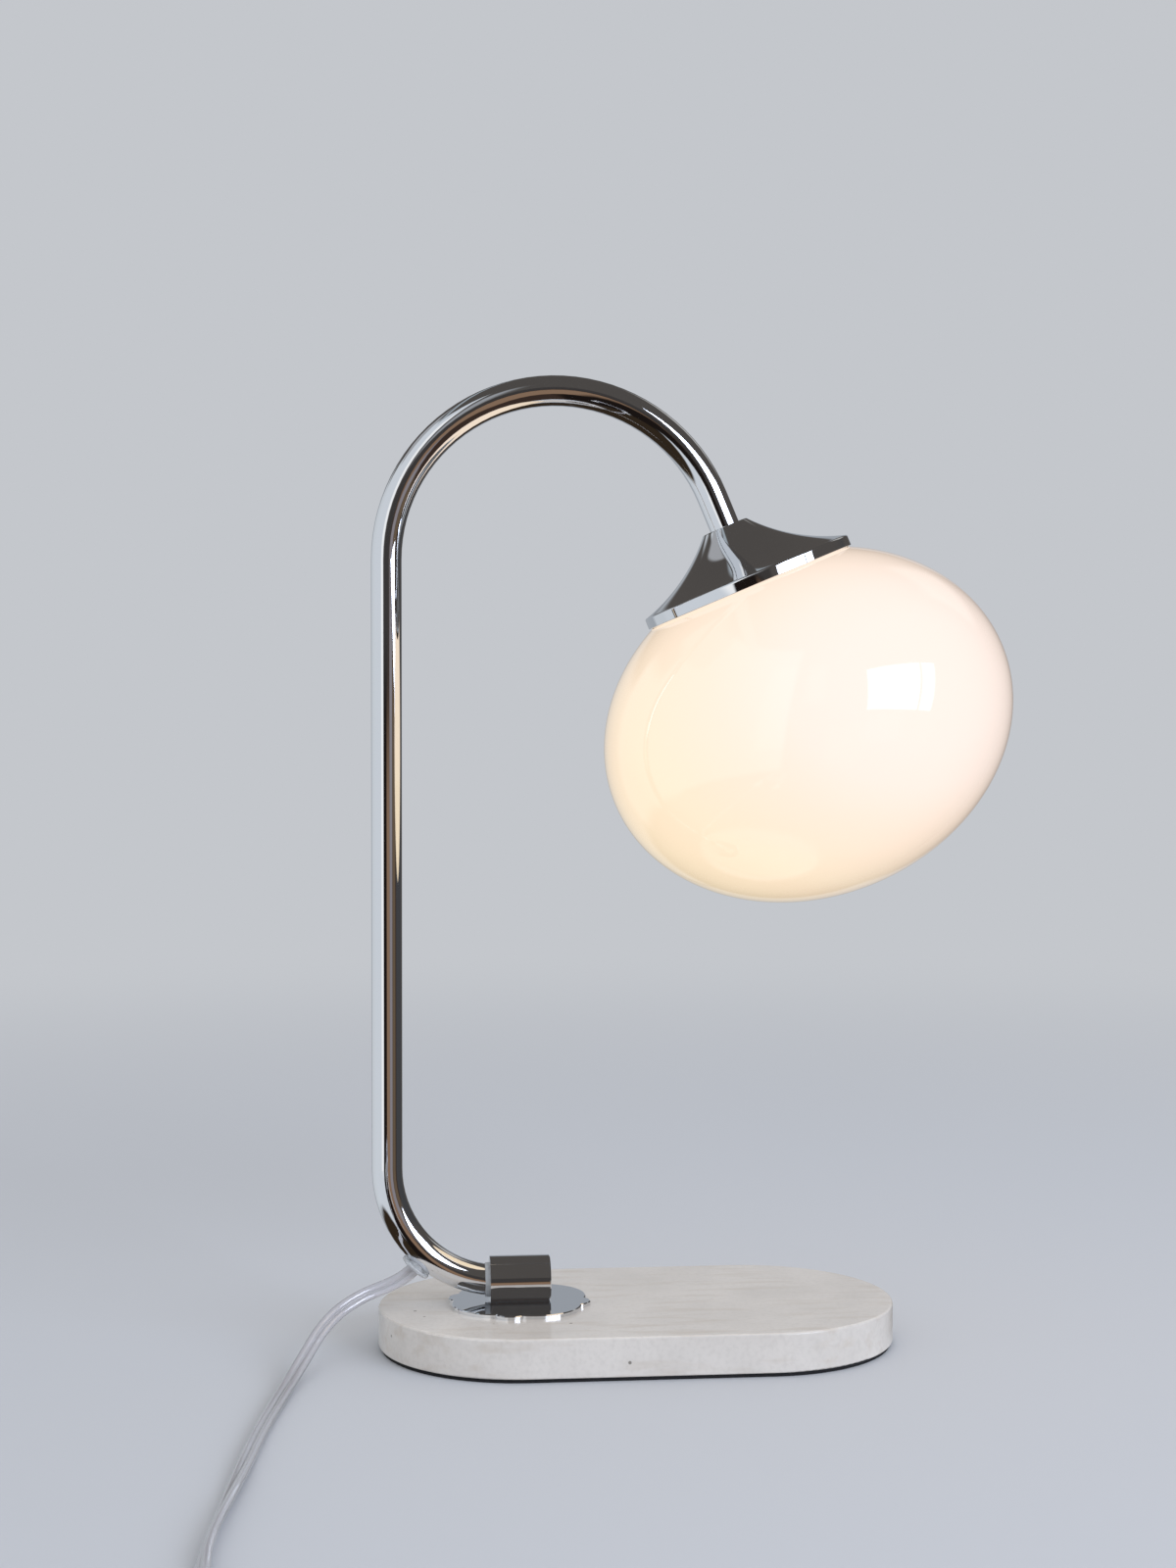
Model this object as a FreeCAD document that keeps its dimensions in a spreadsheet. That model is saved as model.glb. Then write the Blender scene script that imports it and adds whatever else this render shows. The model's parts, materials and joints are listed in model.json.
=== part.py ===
"""Table lamp: a bent chrome arm on a stone slab holds an opal glass globe under a flared cap.

Millimetres, +Z up. The origin is the centre of the base's underside, +X runs along the slab from
the arm towards the globe, and -Y faces the front. The shade's own frame starts at the end of the
arm, with its z along the shade's axis, so that every piece of the shade lies at a negative z.
"""
import FreeCAD, Part
import math
import os

import Sketcher
from FreeCAD import Placement, Rotation, Vector

# The driving dimensions, in millimetres and degrees
SIZES = {
    # stone slab and its pad
    "slab_length": 271.3,
    "slab_width": 147.8,
    "slab_thickness": 20.0,
    "slab_edge_round": 1.2,
    "slab_foot_round": 0.8,
    "pad_thickness": 2.0,
    "pad_inset": 1.5,
    "recess_length": 44.0,
    "recess_width": 22.0,
    "recess_depth": 9.5,
    # two screws that hold the arm's foot from below
    "screw_radius": 2.5,
    "screw_length": 30.0,
    "screw_head_radius": 4.25,
    "screw_head_height": 5.0,
    "screw_key": 4.0,
    "screw_key_depth": 2.5,
    "screw_spacing": 11.0,
    "screw_clearance": 0.3,
    "thread_clearance": 0.05,
    "screw_start": 5.0,
    "washer_radius": 5.0,
    "washer_thickness": 1.0,
    "backing_length": 40.0,
    "backing_width": 18.0,
    "backing_thickness": 2.5,
    # lobed plate under the foot
    "plate_thickness": 2.0,
    "plate_shift": 9.0,
    "plate_notch_radius": 34.5,
    "plate_large_lobe_radius": 24.5,
    "plate_small_lobe_radius": 8.6,
    "plate_edge": 0.5,
    "small_lobe_half_angle": 12.0,
    "plate_turn": 12.0,
    # foot block
    "socket_mouth": 6.5,
    "socket_length": 31.5,
    "socket_radius": 12.75,
    "socket_axis_height": 10.0,
    "socket_edge": 0.5,
    "socket_floor": 3.0,
    "relief_clearance": 0.6,
    "ring_thickness": 2.5,
    "ring_clearance": 0.25,
    "ring_wall": 0.6,
    # bent arm
    "arm_offset": 131.1,
    "tube_radius": 8.0,
    "tube_wall": 1.5,
    "bend_radius": 60.0,
    "foot_length": 21.0,
    "arch_radius": 89.0,
    "arch_height": 411.0,
    "arch_tail": 17.3,
    "shade_tilt": 22.9,
    "insert_length": 20.0,
    "fit_clearance": 0.05,
    "exit_angle": 229.0,
    "exit_hole_radius": 5.1,
    # clear bush round the cord
    "grommet_radius": 8.3,
    "grommet_flange": 2.2,
    "grommet_neck": 2.5,
    "grommet_edge": 0.5,
    "grommet_bore": 3.75,
    "running_gap": 0.1,
    # hollow threaded rod through the shade's cap
    "bush_length": 14.0,
    "nipple_radius": 5.0,
    "nipple_bore": 3.5,
    "nipple_above": 12.0,
    "nipple_below": 28.0,
    "nut_across": 14.0,
    "nut_thickness": 3.0,
    "cap_washer_radius": 8.5,
    # spun cap
    "cap_flare_height": 28.4,
    "cap_top_radius": 12.3,
    "cap_flare_radius": 94.5,
    "cap_rim_radius": 57.5,
    "cap_edge_round": 1.2,
    "cap_wall": 1.4,
    # blown glass globe
    "globe_radius": 110.0,
    "globe_half_height": 90.9,
    "glass_wall": 3.0,
    "neck_radius": 27.5,
    "neck_rise": 2.2,
    "neck_gap": 1.6,
    "bead_radius": 28.5,
    "bead_height": 1.8,
    "bead_drop": 1.0,
    "seat_gap": 0.3,
    # pressed cup that carries the glass
    "gallery_drop": 17.4,
    "gallery_sheet": 0.8,
    # lampholder
    "holder_neck_radius": 8.5,
    "holder_neck": 3.8,
    "holder_cone": 11.0,
    "holder_radius": 20.0,
    "holder_wall": 2.0,
    "dome_skirt": 9.0,
    "sleeve_length": 26.0,
    "sleeve_bore": 15.2,
    "sleeve_lip": 2.0,
    "insert_thickness": 10.8,
    "insert_recess": 3.0,
    "shell_radius": 14.0,
    "shell_wall": 0.5,
    "shell_length": 21.0,
    "contact_radius": 3.0,
    "contact_thickness": 1.5,
    # bulb
    "bulb_button_radius": 4.5,
    "bulb_button": 1.6,
    "bulb_cap_radius": 12.9,
    "bulb_cap_taper": 3.6,
    "bulb_cap_length": 21.6,
    "collar_radius": 20.0,
    "collar_length": 14.0,
    "bulb_radius": 22.5,
    # cord and lead
    "cord_radius": 3.6,
    "lead_radius": 2.2,
    # inline switch
    "switch_length": 62.0,
    "switch_width": 26.0,
    "switch_end_width": 14.0,
    "switch_bow_radius": 83.1,
    "switch_split": 7.2,
    "switch_top": 17.0,
    "switch_wall": 1.8,
    "switch_end_wall": 6.0,
    "switch_entry": 3.0,
    "switch_foot_round": 1.2,
    "switch_edge_round": 2.5,
    "cord_clearance": 0.15,
    "window_length": 19.2,
    "window_width": 10.8,
    "rocker_width": 10.2,
    "rocker_reach": 9.3,
    "rocker_pivot": 13.5,
    "rocker_crest": 5.6,
    "rocker_dip": 4.6,
    "rocker_skirt": 1.6,
    "rocker_keel": 3.0,
    "rocker_keel_half": 5.0,
    "rocker_tilt": 7.0,
    "pin_radius": 1.0,
    "pin_length": 16.0,
    "ear_thickness": 2.4,
    "ear_width": 6.0,
    "ear_drop": 2.4,
    "terminal_length": 6.0,
    "terminal_width": 7.0,
    "terminal_height": 4.0,
    "terminal_spacing": 22.0,
    "switch_screw_radius": 1.2,
    "switch_screw_head": 2.2,
    "switch_screw_length": 12.0,
    "switch_screw_spacing": 38.0,
    "switch_boss_radius": 3.2,
    # two-pin plug
    "plug_width": 25.8,
    "plug_thickness": 13.8,
    "plug_flat": 15.0,
    "plug_side": 5.0,
    "plug_grip": 22.0,
    "plug_length": 36.0,
    "plug_tail_width": 12.0,
    "plug_tail_thickness": 10.0,
    "relief_radius": 5.0,
    "relief_tip_radius": 4.3,
    "relief_length": 22.0,
    "plug_pin_radius": 2.0,
    "plug_pin_root_radius": 1.5,
    "plug_pin_length": 19.0,
    "plug_pin_bare": 9.0,
    "plug_pin_round": 1.0,
    "plug_pin_depth": 10.0,
    "plug_pin_spacing": 18.6,
    # where the pieces on the cord lie, from the base's centre
    "switch_x": -200.0,
    "switch_y": -404.0,
    "plug_y": -385.0,
    # coil of the stored cord
    "coil_inner": 34.2,
    "coil_pitch": 7.8,
    "coil_y": -505.0,
}
COIL_TURNS_A_LAYER = 2.25
COIL_LAYERS = 2

# The cord's route from the arm's exit to the switch, chosen by hand from the photograph
CORD_TO_SWITCH = [
    (-119.9, 0.0, 37.9),
    (-130.1, -1.0, 32.8),
    (-143.1, -4.0, 28.9),
    (-156.1, -12.0, 23.0),
    (-165.6, -26.0, 16.0),
    (-172.1, -45.0, 9.0),
    (-178.1, -68.0, 4.2),
    (-183.1, -98.0, 3.6),
    (-189.7, -147.0, 3.6),
    (-194.2, -200.0, 3.6),
    (-198.7, -250.0, 3.6),
    (-202.4, -290.0, 3.6),
    (-202.0, -325.0, 3.8),
    (-200.0, -352.0, 7.2),
]
# From the switch to the coil, and from the coil to the plug
CORD_TO_COIL = [
    (-200.0, -449.0, 7.2),
    (-199.6, -466.0, 4.2),
    (-200.0, -481.0, 3.6),
]
CORD_TO_PLUG = [
    (-96.5, -484.5, 11.4),
    (-96.3, -469.0, 8.6),
    (-96.5, -455.5, 6.9),
]
# The lead inside the arm, from the top of the lower bend to the exit: x from the arm's axis, and z
LEAD_IN_BEND = [(0.0, 104.0), (2.0, 84.0), (9.5, 65.0), (22.8, 51.7)]

SLAB_TOP = "(Sizes.pad_thickness + Sizes.slab_thickness)"
PLATE_TOP = f"({SLAB_TOP} + Sizes.plate_thickness)"
ARM_AXIS = f"({PLATE_TOP} + Sizes.socket_axis_height)"
ARM_X = "(-Sizes.arm_offset)"
FOOT_START = f"({ARM_X} + Sizes.bend_radius)"
FOOT_END = f"({FOOT_START} + Sizes.foot_length)"
SOCKET_X = f"({FOOT_START} - Sizes.socket_mouth)"
PLATE_X = f"({FOOT_START} + Sizes.plate_shift)"
TUBE_BORE = "(Sizes.tube_radius - Sizes.tube_wall)"
SHADE_COS = "cos(Sizes.shade_tilt * 1 deg)"
SHADE_SIN = "sin(Sizes.shade_tilt * 1 deg)"
ARCH_END_X = f"({ARM_X} + Sizes.arch_radius * (1 + {SHADE_COS}))"
ARCH_END_Z = f"(Sizes.arch_height + Sizes.arch_radius * {SHADE_SIN})"
ARM_END_X = f"({ARCH_END_X} + Sizes.arch_tail * {SHADE_SIN})"
ARM_END_Z = f"({ARCH_END_Z} - Sizes.arch_tail * {SHADE_COS})"
EXIT_X = f"({FOOT_START} + Sizes.bend_radius * cos(Sizes.exit_angle * 1 deg))"
EXIT_Z = f"({ARM_AXIS} + Sizes.bend_radius * (1 + sin(Sizes.exit_angle * 1 deg)))"
CAP_INNER_RIM = "(Sizes.cap_rim_radius - Sizes.cap_wall)"
NECK_TOP = "(-Sizes.gallery_drop - Sizes.gallery_sheet - Sizes.neck_gap)"
GLOBE_DROP = f"(Sizes.neck_rise + Sizes.globe_half_height - {NECK_TOP})"
CAP_HEIGHT = (
    f"({GLOBE_DROP} - Sizes.globe_half_height"
    f" * sqrt(1 - pow({CAP_INNER_RIM} / Sizes.globe_radius; 2)) - Sizes.seat_gap)"
)
HOLDER_TOP = "(-Sizes.gallery_drop - Sizes.gallery_sheet)"
CONE_FOOT = f"({HOLDER_TOP} - Sizes.holder_neck - Sizes.holder_cone)"
DOME_FOOT = f"({CONE_FOOT} - Sizes.dome_skirt)"
HOLDER_BORE = "(Sizes.holder_radius - Sizes.holder_wall)"
INSERT_TOP = f"({CONE_FOOT} - Sizes.holder_wall / 2)"
INSERT_FOOT = f"({INSERT_TOP} - Sizes.insert_thickness)"
CONTACT_FOOT = f"({INSERT_FOOT} - Sizes.running_gap - Sizes.contact_thickness)"
BUTTON_TOP = f"({CONTACT_FOOT} - Sizes.seat_gap)"
BULB_CAP_TOP = f"({BUTTON_TOP} - Sizes.bulb_button)"
COLLAR_TOP = f"({BULB_CAP_TOP} - Sizes.bulb_cap_length)"
COLLAR_FOOT = f"({COLLAR_TOP} - Sizes.collar_length)"
BULB_DROP = "sqrt(pow(Sizes.bulb_radius; 2) - pow(Sizes.collar_radius; 2))"
SHADE = (ARM_END_X, "0", ARM_END_Z)

doc = FreeCAD.newDocument("TableLamp")
sheet = doc.addObject("Spreadsheet::Sheet", "Sizes")
nodes = {}


def fill_sheet():
    """One row a size: its name, and its value under that alias."""
    for row, (name, value) in enumerate(SIZES.items(), start=1):
        sheet.set(f"A{row}", name)
        sheet.set(f"B{row}", str(value))
        sheet.setAlias(f"B{row}", name)
    doc.recompute()


def number(expression):
    """The value of an expression of the sheet's sizes, as a plain number."""
    value = sheet.evalExpression(str(expression))
    return float(getattr(value, "Value", value))


def place(piece, at, turn=None, axis=(0, -1, 0)):
    """Ties the piece's place, and its turn in degrees about the axis, to the sheet."""
    if turn is not None:
        piece.Placement = Placement(Vector(), Rotation(Vector(*axis), max(1.0, number(turn))))
        piece.setExpression("Placement.Rotation.Angle", str(turn))
    for letter, expression in zip("xyz", at):
        if expression != "0":
            piece.setExpression(f"Placement.Base.{letter}", str(expression))
    return piece


def node(name, piece):
    """Names a finished sub-part, which is written to the file of that name."""
    piece.Label = name
    nodes[name] = piece
    return piece


def new_body(name, at=("0", "0", "0"), turn=None, axis=(0, -1, 0)):
    """An empty body at its place."""
    body = doc.addObject("PartDesign::Body", name)
    return place(body, at, turn, axis)


def plane_sketch(body, role, name, offset="0"):
    """An empty sketch on one of the body's own planes, moved along the plane's normal."""
    sketch = body.newObject("Sketcher::SketchObject", name)
    plane = next(feature for feature in body.Origin.OriginFeatures if feature.Role == role)
    sketch.AttachmentSupport = [(plane, "")]
    sketch.MapMode = "FlatFace"
    if offset != "0":
        sketch.setExpression("AttachmentOffset.Base.z", offset)
    return sketch


def fix(sketch, kind, geometry, vertex, expression):
    """Binds a vertex's distance from the sketch's origin to an expression."""
    constraint = Sketcher.Constraint(kind, -1, 1, geometry, vertex, number(expression))
    index = sketch.addConstraint(constraint)
    if str(expression) != "0":
        sketch.setExpression(f"Constraints[{index}]", str(expression))


def arc_centre(start, end, turn, radius=None, centre_x=None, centre_y=None):
    """The centre of an arc between two points, from its radius or from one coordinate of it."""
    middle = (start + end) * 0.5
    chord = end - start
    left = Vector(-chord.y, chord.x, 0).normalize()
    if centre_x is not None:
        return middle + left * ((number(centre_x) - middle.x) / left.x)
    if centre_y is not None:
        return middle + left * ((number(centre_y) - middle.y) / left.y)
    height = math.sqrt(max(number(radius) ** 2 - (chord.Length / 2) ** 2, 0.0))
    return middle + left * (height if turn == "left" else -height)


def add_arc(sketch, start, end, turn, **bound):
    """Adds an arc that turns left or right on its way, and returns its index and its two ends."""
    centre = arc_centre(start, end, turn, **bound)
    first, last = (start, end) if turn == "left" else (end, start)
    angles = [math.atan2(point.y - centre.y, point.x - centre.x) for point in (first, last)]
    circle = Part.Circle(centre, Vector(0, 0, 1), (start - centre).Length)
    index = sketch.addGeometry(Part.ArcOfCircle(circle, *angles))
    if "radius" in bound:
        fixed = sketch.addConstraint(Sketcher.Constraint("Radius", index, number(bound["radius"])))
        sketch.setExpression(f"Constraints[{fixed}]", str(bound["radius"]))
    elif "centre_x" in bound:
        fix(sketch, "DistanceX", index, 3, bound["centre_x"])
    else:
        fix(sketch, "DistanceY", index, 3, bound["centre_y"])
    return index, (1, 2) if turn == "left" else (2, 1)


def outline(sketch, corners, arcs=None, closed=True):
    """A chain of sides through the corners; arcs says which sides are arcs, and how they turn."""
    arcs = arcs or {}
    points = [Vector(number(x), number(y), 0) for x, y in corners]
    count = len(points) if closed else len(points) - 1
    sides = []
    for side in range(count):
        start, end = points[side], points[(side + 1) % len(points)]
        if side in arcs:
            sides.append(add_arc(sketch, start, end, **arcs[side]))
        else:
            sides.append((sketch.addGeometry(Part.LineSegment(start, end)), (1, 2)))
    for side, (index, (first, last)) in enumerate(sides):
        fix(sketch, "DistanceX", index, first, corners[side][0])
        fix(sketch, "DistanceY", index, first, corners[side][1])
        following = sides[(side + 1) % count]
        if closed or side + 1 < count:
            joined = Sketcher.Constraint("Coincident", index, last, following[0], following[1][0])
            sketch.addConstraint(joined)
        else:
            fix(sketch, "DistanceX", index, last, corners[-1][0])
            fix(sketch, "DistanceY", index, last, corners[-1][1])
    return sketch


def ring_outline(sketch, centre, *radii):
    """Circles of the given radii about one centre."""
    for radius in radii:
        circle = Part.Circle(Vector(*map(number, centre), 0), Vector(0, 0, 1), number(radius))
        index = sketch.addGeometry(circle)
        fix(sketch, "DistanceX", index, 3, centre[0])
        fix(sketch, "DistanceY", index, 3, centre[1])
        bound = sketch.addConstraint(Sketcher.Constraint("Radius", index, number(radius)))
        sketch.setExpression(f"Constraints[{bound}]", str(radius))
    return sketch


def pad(body, sketch, length, reverse=False, both_ways=False):
    """A pad of the sketch along its plane's normal."""
    feature = body.newObject("PartDesign::Pad", sketch.Name + "Pad")
    feature.Profile = sketch
    feature.Reversed = reverse
    feature.Midplane = both_ways
    feature.setExpression("Length", str(length))
    doc.recompute()
    return feature


def pocket(body, sketch, length, reverse=False, both_ways=False):
    """A pocket of the sketch, against its plane's normal unless reversed, which has to cut."""
    before = body.Shape.Volume
    feature = body.newObject("PartDesign::Pocket", sketch.Name + "Pocket")
    feature.Profile = sketch
    feature.Reversed = reverse
    feature.Midplane = both_ways
    feature.setExpression("Length", str(length))
    doc.recompute()
    if not body.Shape.Volume < before:
        raise ValueError(f"{feature.Name} cuts nothing")
    return feature


def revolve(body, sketch):
    """A full turn of the sketch about its own upright axis."""
    feature = body.newObject("PartDesign::Revolution", sketch.Name + "Turn")
    feature.Profile = sketch
    feature.ReferenceAxis = (sketch, ["V_Axis"])
    doc.recompute()
    return feature


def dress(body, kind, size, test):
    """A fillet or a chamfer on the edges of the body's tip whose middle passes the test."""
    base = body.Tip
    names = [f"Edge{index}" for index, edge in enumerate(base.Shape.Edges, start=1)
             if test(edge.CenterOfMass)]
    feature = body.newObject(f"PartDesign::{kind}", f"{base.Name}{kind}")
    feature.Base = (base, names)
    feature.setExpression("Radius" if kind == "Fillet" else "Size", str(size))
    doc.recompute()
    if body.Shape.isNull() or not body.Shape.isValid():
        raise ValueError(f"{feature.Name} fails on {len(names)} edges")
    return feature


def near(value, expression):
    """Whether a coordinate is the expression's, to rounding."""
    return abs(value - number(expression)) < abs(number("Sizes.fit_clearance")) / 10


def turned(name, corners, at, turn=None, arcs=None, axis=(0, -1, 0)):
    """A lathe-turned piece: an outline of radii and heights spun about its own z."""
    body = new_body(name, at, turn, axis)
    revolve(body, outline(plane_sketch(body, "XZ_Plane", name + "Outline"), corners, arcs))
    return body


def ring_corners(inner, outer, low, high):
    """The outline of a plain ring."""
    return [(inner, low), (outer, low), (outer, high), (inner, high)]


def cylinder(name, radius, length, at, turn=None, axis=(0, -1, 0)):
    """A plain cylinder, for holes and rods."""
    piece = doc.addObject("Part::Cylinder", name)
    piece.setExpression("Radius", str(radius))
    piece.setExpression("Height", str(length))
    return place(piece, at, turn, axis)


def cut(name, base, tools):
    """The base with all the tools taken away."""
    tool = tools[0]
    if len(tools) > 1:
        tool = doc.addObject("Part::MultiFuse", name + "Holes")
        tool.Shapes = tools
    piece = doc.addObject("Part::Cut", name)
    piece.Base = base
    piece.Tool = tool
    return piece


def group(name, pieces):
    """Identical pieces that share one node."""
    piece = doc.addObject("Part::Compound", name)
    piece.Links = pieces
    return piece


def slab_outline(body, name, inset="0"):
    """The slab's plan: two straight sides and two half-round ends."""
    half = f"(Sizes.slab_width / 2 - {inset})"
    reach = "(Sizes.slab_length / 2 - Sizes.slab_width / 2)"
    corners = [(f"-{reach}", f"-{half}"), (reach, f"-{half}"), (reach, half), (f"-{reach}", half)]
    arcs = {1: dict(turn="left", centre_x=reach), 3: dict(turn="left", centre_x=f"-{reach}")}
    return outline(plane_sketch(body, "XY_Plane", name), corners, arcs)


def screw_places():
    """The x of each foot screw."""
    first = f"({FOOT_START} + Sizes.screw_start)"
    return [first, f"({first} + Sizes.screw_spacing)"]


def recess_middle():
    """The x of the middle of the recess, between the screws."""
    return f"({FOOT_START} + Sizes.screw_start + Sizes.screw_spacing / 2)"


def rectangle(body, role, name, width, height, offset="0", middle=("0", "0")):
    """A rectangle about its middle."""
    left, right = (f"({middle[0]} {sign} {width} / 2)" for sign in "-+")
    low, high = (f"({middle[1]} {sign} {height} / 2)" for sign in "-+")
    sketch = plane_sketch(body, role, name, offset)
    return outline(sketch, [(left, low), (right, low), (right, high), (left, high)])


def base_slab():
    """Stone slab with a recess under the foot for the backing plate and the screw heads."""
    body = new_body("SlabBody", ("0", "0", "Sizes.pad_thickness"))
    pad(body, slab_outline(body, "SlabPlan"), "Sizes.slab_thickness")
    dress(body, "Fillet", "Sizes.slab_edge_round", lambda p: near(p.z, "Sizes.slab_thickness"))
    dress(body, "Fillet", "Sizes.slab_foot_round", lambda p: near(p.z, "0"))
    plan = rectangle(body, "XY_Plane", "RecessPlan", "Sizes.recess_length", "Sizes.recess_width",
                     middle=(recess_middle(), "0"))
    pocket(body, plan, "Sizes.recess_depth", reverse=True)
    holes = plane_sketch(body, "XY_Plane", "SlabHoles")
    for x in screw_places():
        ring_outline(holes, (x, "0"), "Sizes.screw_radius + Sizes.screw_clearance")
    pocket(body, holes, "Sizes.slab_thickness", reverse=True)
    node("base_slab", body)


def base_pad():
    """Soft black pad under the slab, a little smaller than it."""
    body = new_body("PadBody")
    pad(body, slab_outline(body, "PadPlan", "Sizes.pad_inset"), "Sizes.pad_thickness")
    node("base_pad", body)


def backing_plate():
    """Steel strip in the recess that spreads the screws' pull over the stone."""
    top = "(Sizes.pad_thickness + Sizes.recess_depth)"
    body = new_body("BackingBody", ("0", "0", f"{top} - Sizes.backing_thickness"))
    plan = rectangle(body, "XY_Plane", "BackingPlan", "Sizes.backing_length",
                     "Sizes.backing_width", middle=(recess_middle(), "0"))
    pad(body, plan, "Sizes.backing_thickness")
    holes = plane_sketch(body, "XY_Plane", "BackingHoles")
    for x in screw_places():
        ring_outline(holes, (x, "0"), "Sizes.screw_radius + Sizes.screw_clearance")
    pocket(body, holes, "Sizes.backing_thickness", reverse=True)
    node("base_backing_plate", body)


def foot_screws():
    """Two cap screws, each with its washer, up through the slab into the arm's insert."""
    seat = "(Sizes.pad_thickness + Sizes.recess_depth - Sizes.backing_thickness)"
    head = f"({seat} - Sizes.washer_thickness)"
    washers = []
    screws = []
    for index, x in enumerate(screw_places()):
        inner = "Sizes.screw_radius + Sizes.running_gap"
        ring = ring_corners(inner, "Sizes.washer_radius", "0", "Sizes.washer_thickness")
        washers.append(turned(f"FootWasher{index}", ring, (x, "0", head)))
        corners = [
            ("0", "-Sizes.screw_head_height"),
            ("Sizes.screw_head_radius", "-Sizes.screw_head_height"),
            ("Sizes.screw_head_radius", "0"),
            ("Sizes.screw_radius", "0"),
            ("Sizes.screw_radius", "Sizes.screw_length"),
            ("0", "Sizes.screw_length"),
        ]
        screw = turned(f"FootScrew{index}", corners, (x, "0", head))
        key = plane_sketch(screw, "XY_Plane", f"ScrewKey{index}", "-Sizes.screw_head_height")
        pocket(screw, outline(key, hexagon("Sizes.screw_key")), "Sizes.screw_key_depth", True)
        screws.append(screw)
    node("base_washers", group("FootWashers", washers))
    node("base_screws", group("FootScrews", screws))


def hexagon(across):
    """The corners of a hexagon, from its width across the flats."""
    return [
        (f"({across} / sqrt(3) * cos({60 * index} deg))",
         f"({across} / sqrt(3) * sin({60 * index} deg))")
        for index in range(6)
    ]


def rosette_plate():
    """Polished plate with four wide lobes and four small ones between them."""
    body = new_body("PlateBody", (PLATE_X, "0", SLAB_TOP))
    corners = []
    arcs = {}
    for index in range(4):
        for sign in "-+":
            angle = f"({90 * index} - Sizes.plate_turn {sign} Sizes.small_lobe_half_angle) * 1 deg"
            corners.append((f"(Sizes.plate_notch_radius * cos({angle}))",
                            f"(Sizes.plate_notch_radius * sin({angle}))"))
        arcs[2 * index] = dict(turn="left", radius="Sizes.plate_small_lobe_radius")
        arcs[2 * index + 1] = dict(turn="left", radius="Sizes.plate_large_lobe_radius")
    pad(body, outline(plane_sketch(body, "XY_Plane", "PlatePlan"), corners, arcs),
        "Sizes.plate_thickness")
    dress(body, "Chamfer", "Sizes.plate_edge", lambda p: near(p.z, "Sizes.plate_thickness"))
    holes = plane_sketch(body, "XY_Plane", "PlateHoles")
    for x in screw_places():
        ring_outline(holes, (f"({x} - {PLATE_X})", "0"),
                     "Sizes.screw_radius + Sizes.screw_clearance")
    pocket(body, holes, "Sizes.plate_thickness", reverse=True)
    node("rosette_plate", body)


def arm_socket():
    """Round foot block with a flat under it, bored from its left face for the arm's end."""
    body = new_body("SocketBody", (SOCKET_X, "0", PLATE_TOP))
    radius, height = "Sizes.socket_radius", "Sizes.socket_axis_height"
    flat = f"sqrt(pow({radius}; 2) - pow({height}; 2))"
    profile = outline(plane_sketch(body, "YZ_Plane", "SocketProfile"),
                      [(f"-{flat}", "0"), (flat, "0")], {1: dict(turn="left", centre_y=height)})
    pad(body, profile, "Sizes.socket_length")
    dress(body, "Chamfer", "Sizes.socket_edge",
          lambda p: near(p.x, "Sizes.socket_length") and p.z > 0)
    bore = plane_sketch(body, "YZ_Plane", "SocketBore")
    ring_outline(bore, ("0", height), "Sizes.tube_radius + Sizes.fit_clearance")
    pocket(body, bore, "Sizes.socket_mouth + Sizes.foot_length + Sizes.seat_gap", reverse=True)
    relief = plane_sketch(body, "YZ_Plane", "SocketRelief")
    ring_outline(relief, ("0", height), "Sizes.tube_radius + Sizes.relief_clearance")
    pocket(body, relief, "Sizes.socket_mouth + Sizes.running_gap", reverse=True)
    holes = plane_sketch(body, "XY_Plane", "SocketHoles")
    for x in screw_places():
        ring_outline(holes, (f"({x} - {SOCKET_X})", "0"),
                     "Sizes.screw_radius + Sizes.screw_clearance")
    pocket(body, holes, "Sizes.socket_floor", reverse=True)
    node("arm_socket", body)


def socket_ring():
    """Thin collar that closes the socket's mouth round the arm, a little above its axis."""
    back = "(Sizes.socket_mouth + Sizes.ring_thickness / 2)"
    lift = f"(Sizes.bend_radius - sqrt(pow(Sizes.bend_radius; 2) - pow({back}; 2)))"
    inner = "(Sizes.tube_radius + Sizes.ring_clearance)"
    corners = ring_corners(inner, f"({inner} + Sizes.ring_wall)", "0", "Sizes.ring_thickness")
    node("socket_ring", turned("SocketRing", corners, (SOCKET_X, "0", f"{ARM_AXIS} + {lift}"), "90"))


def exit_tool():
    """The drill for the cord's way out, across the outer wall of the lower bend."""
    return cylinder("ExitHole", "Sizes.exit_hole_radius", "Sizes.tube_radius * 2",
                    (EXIT_X, "0", EXIT_Z), "Sizes.exit_angle - 90")


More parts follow.
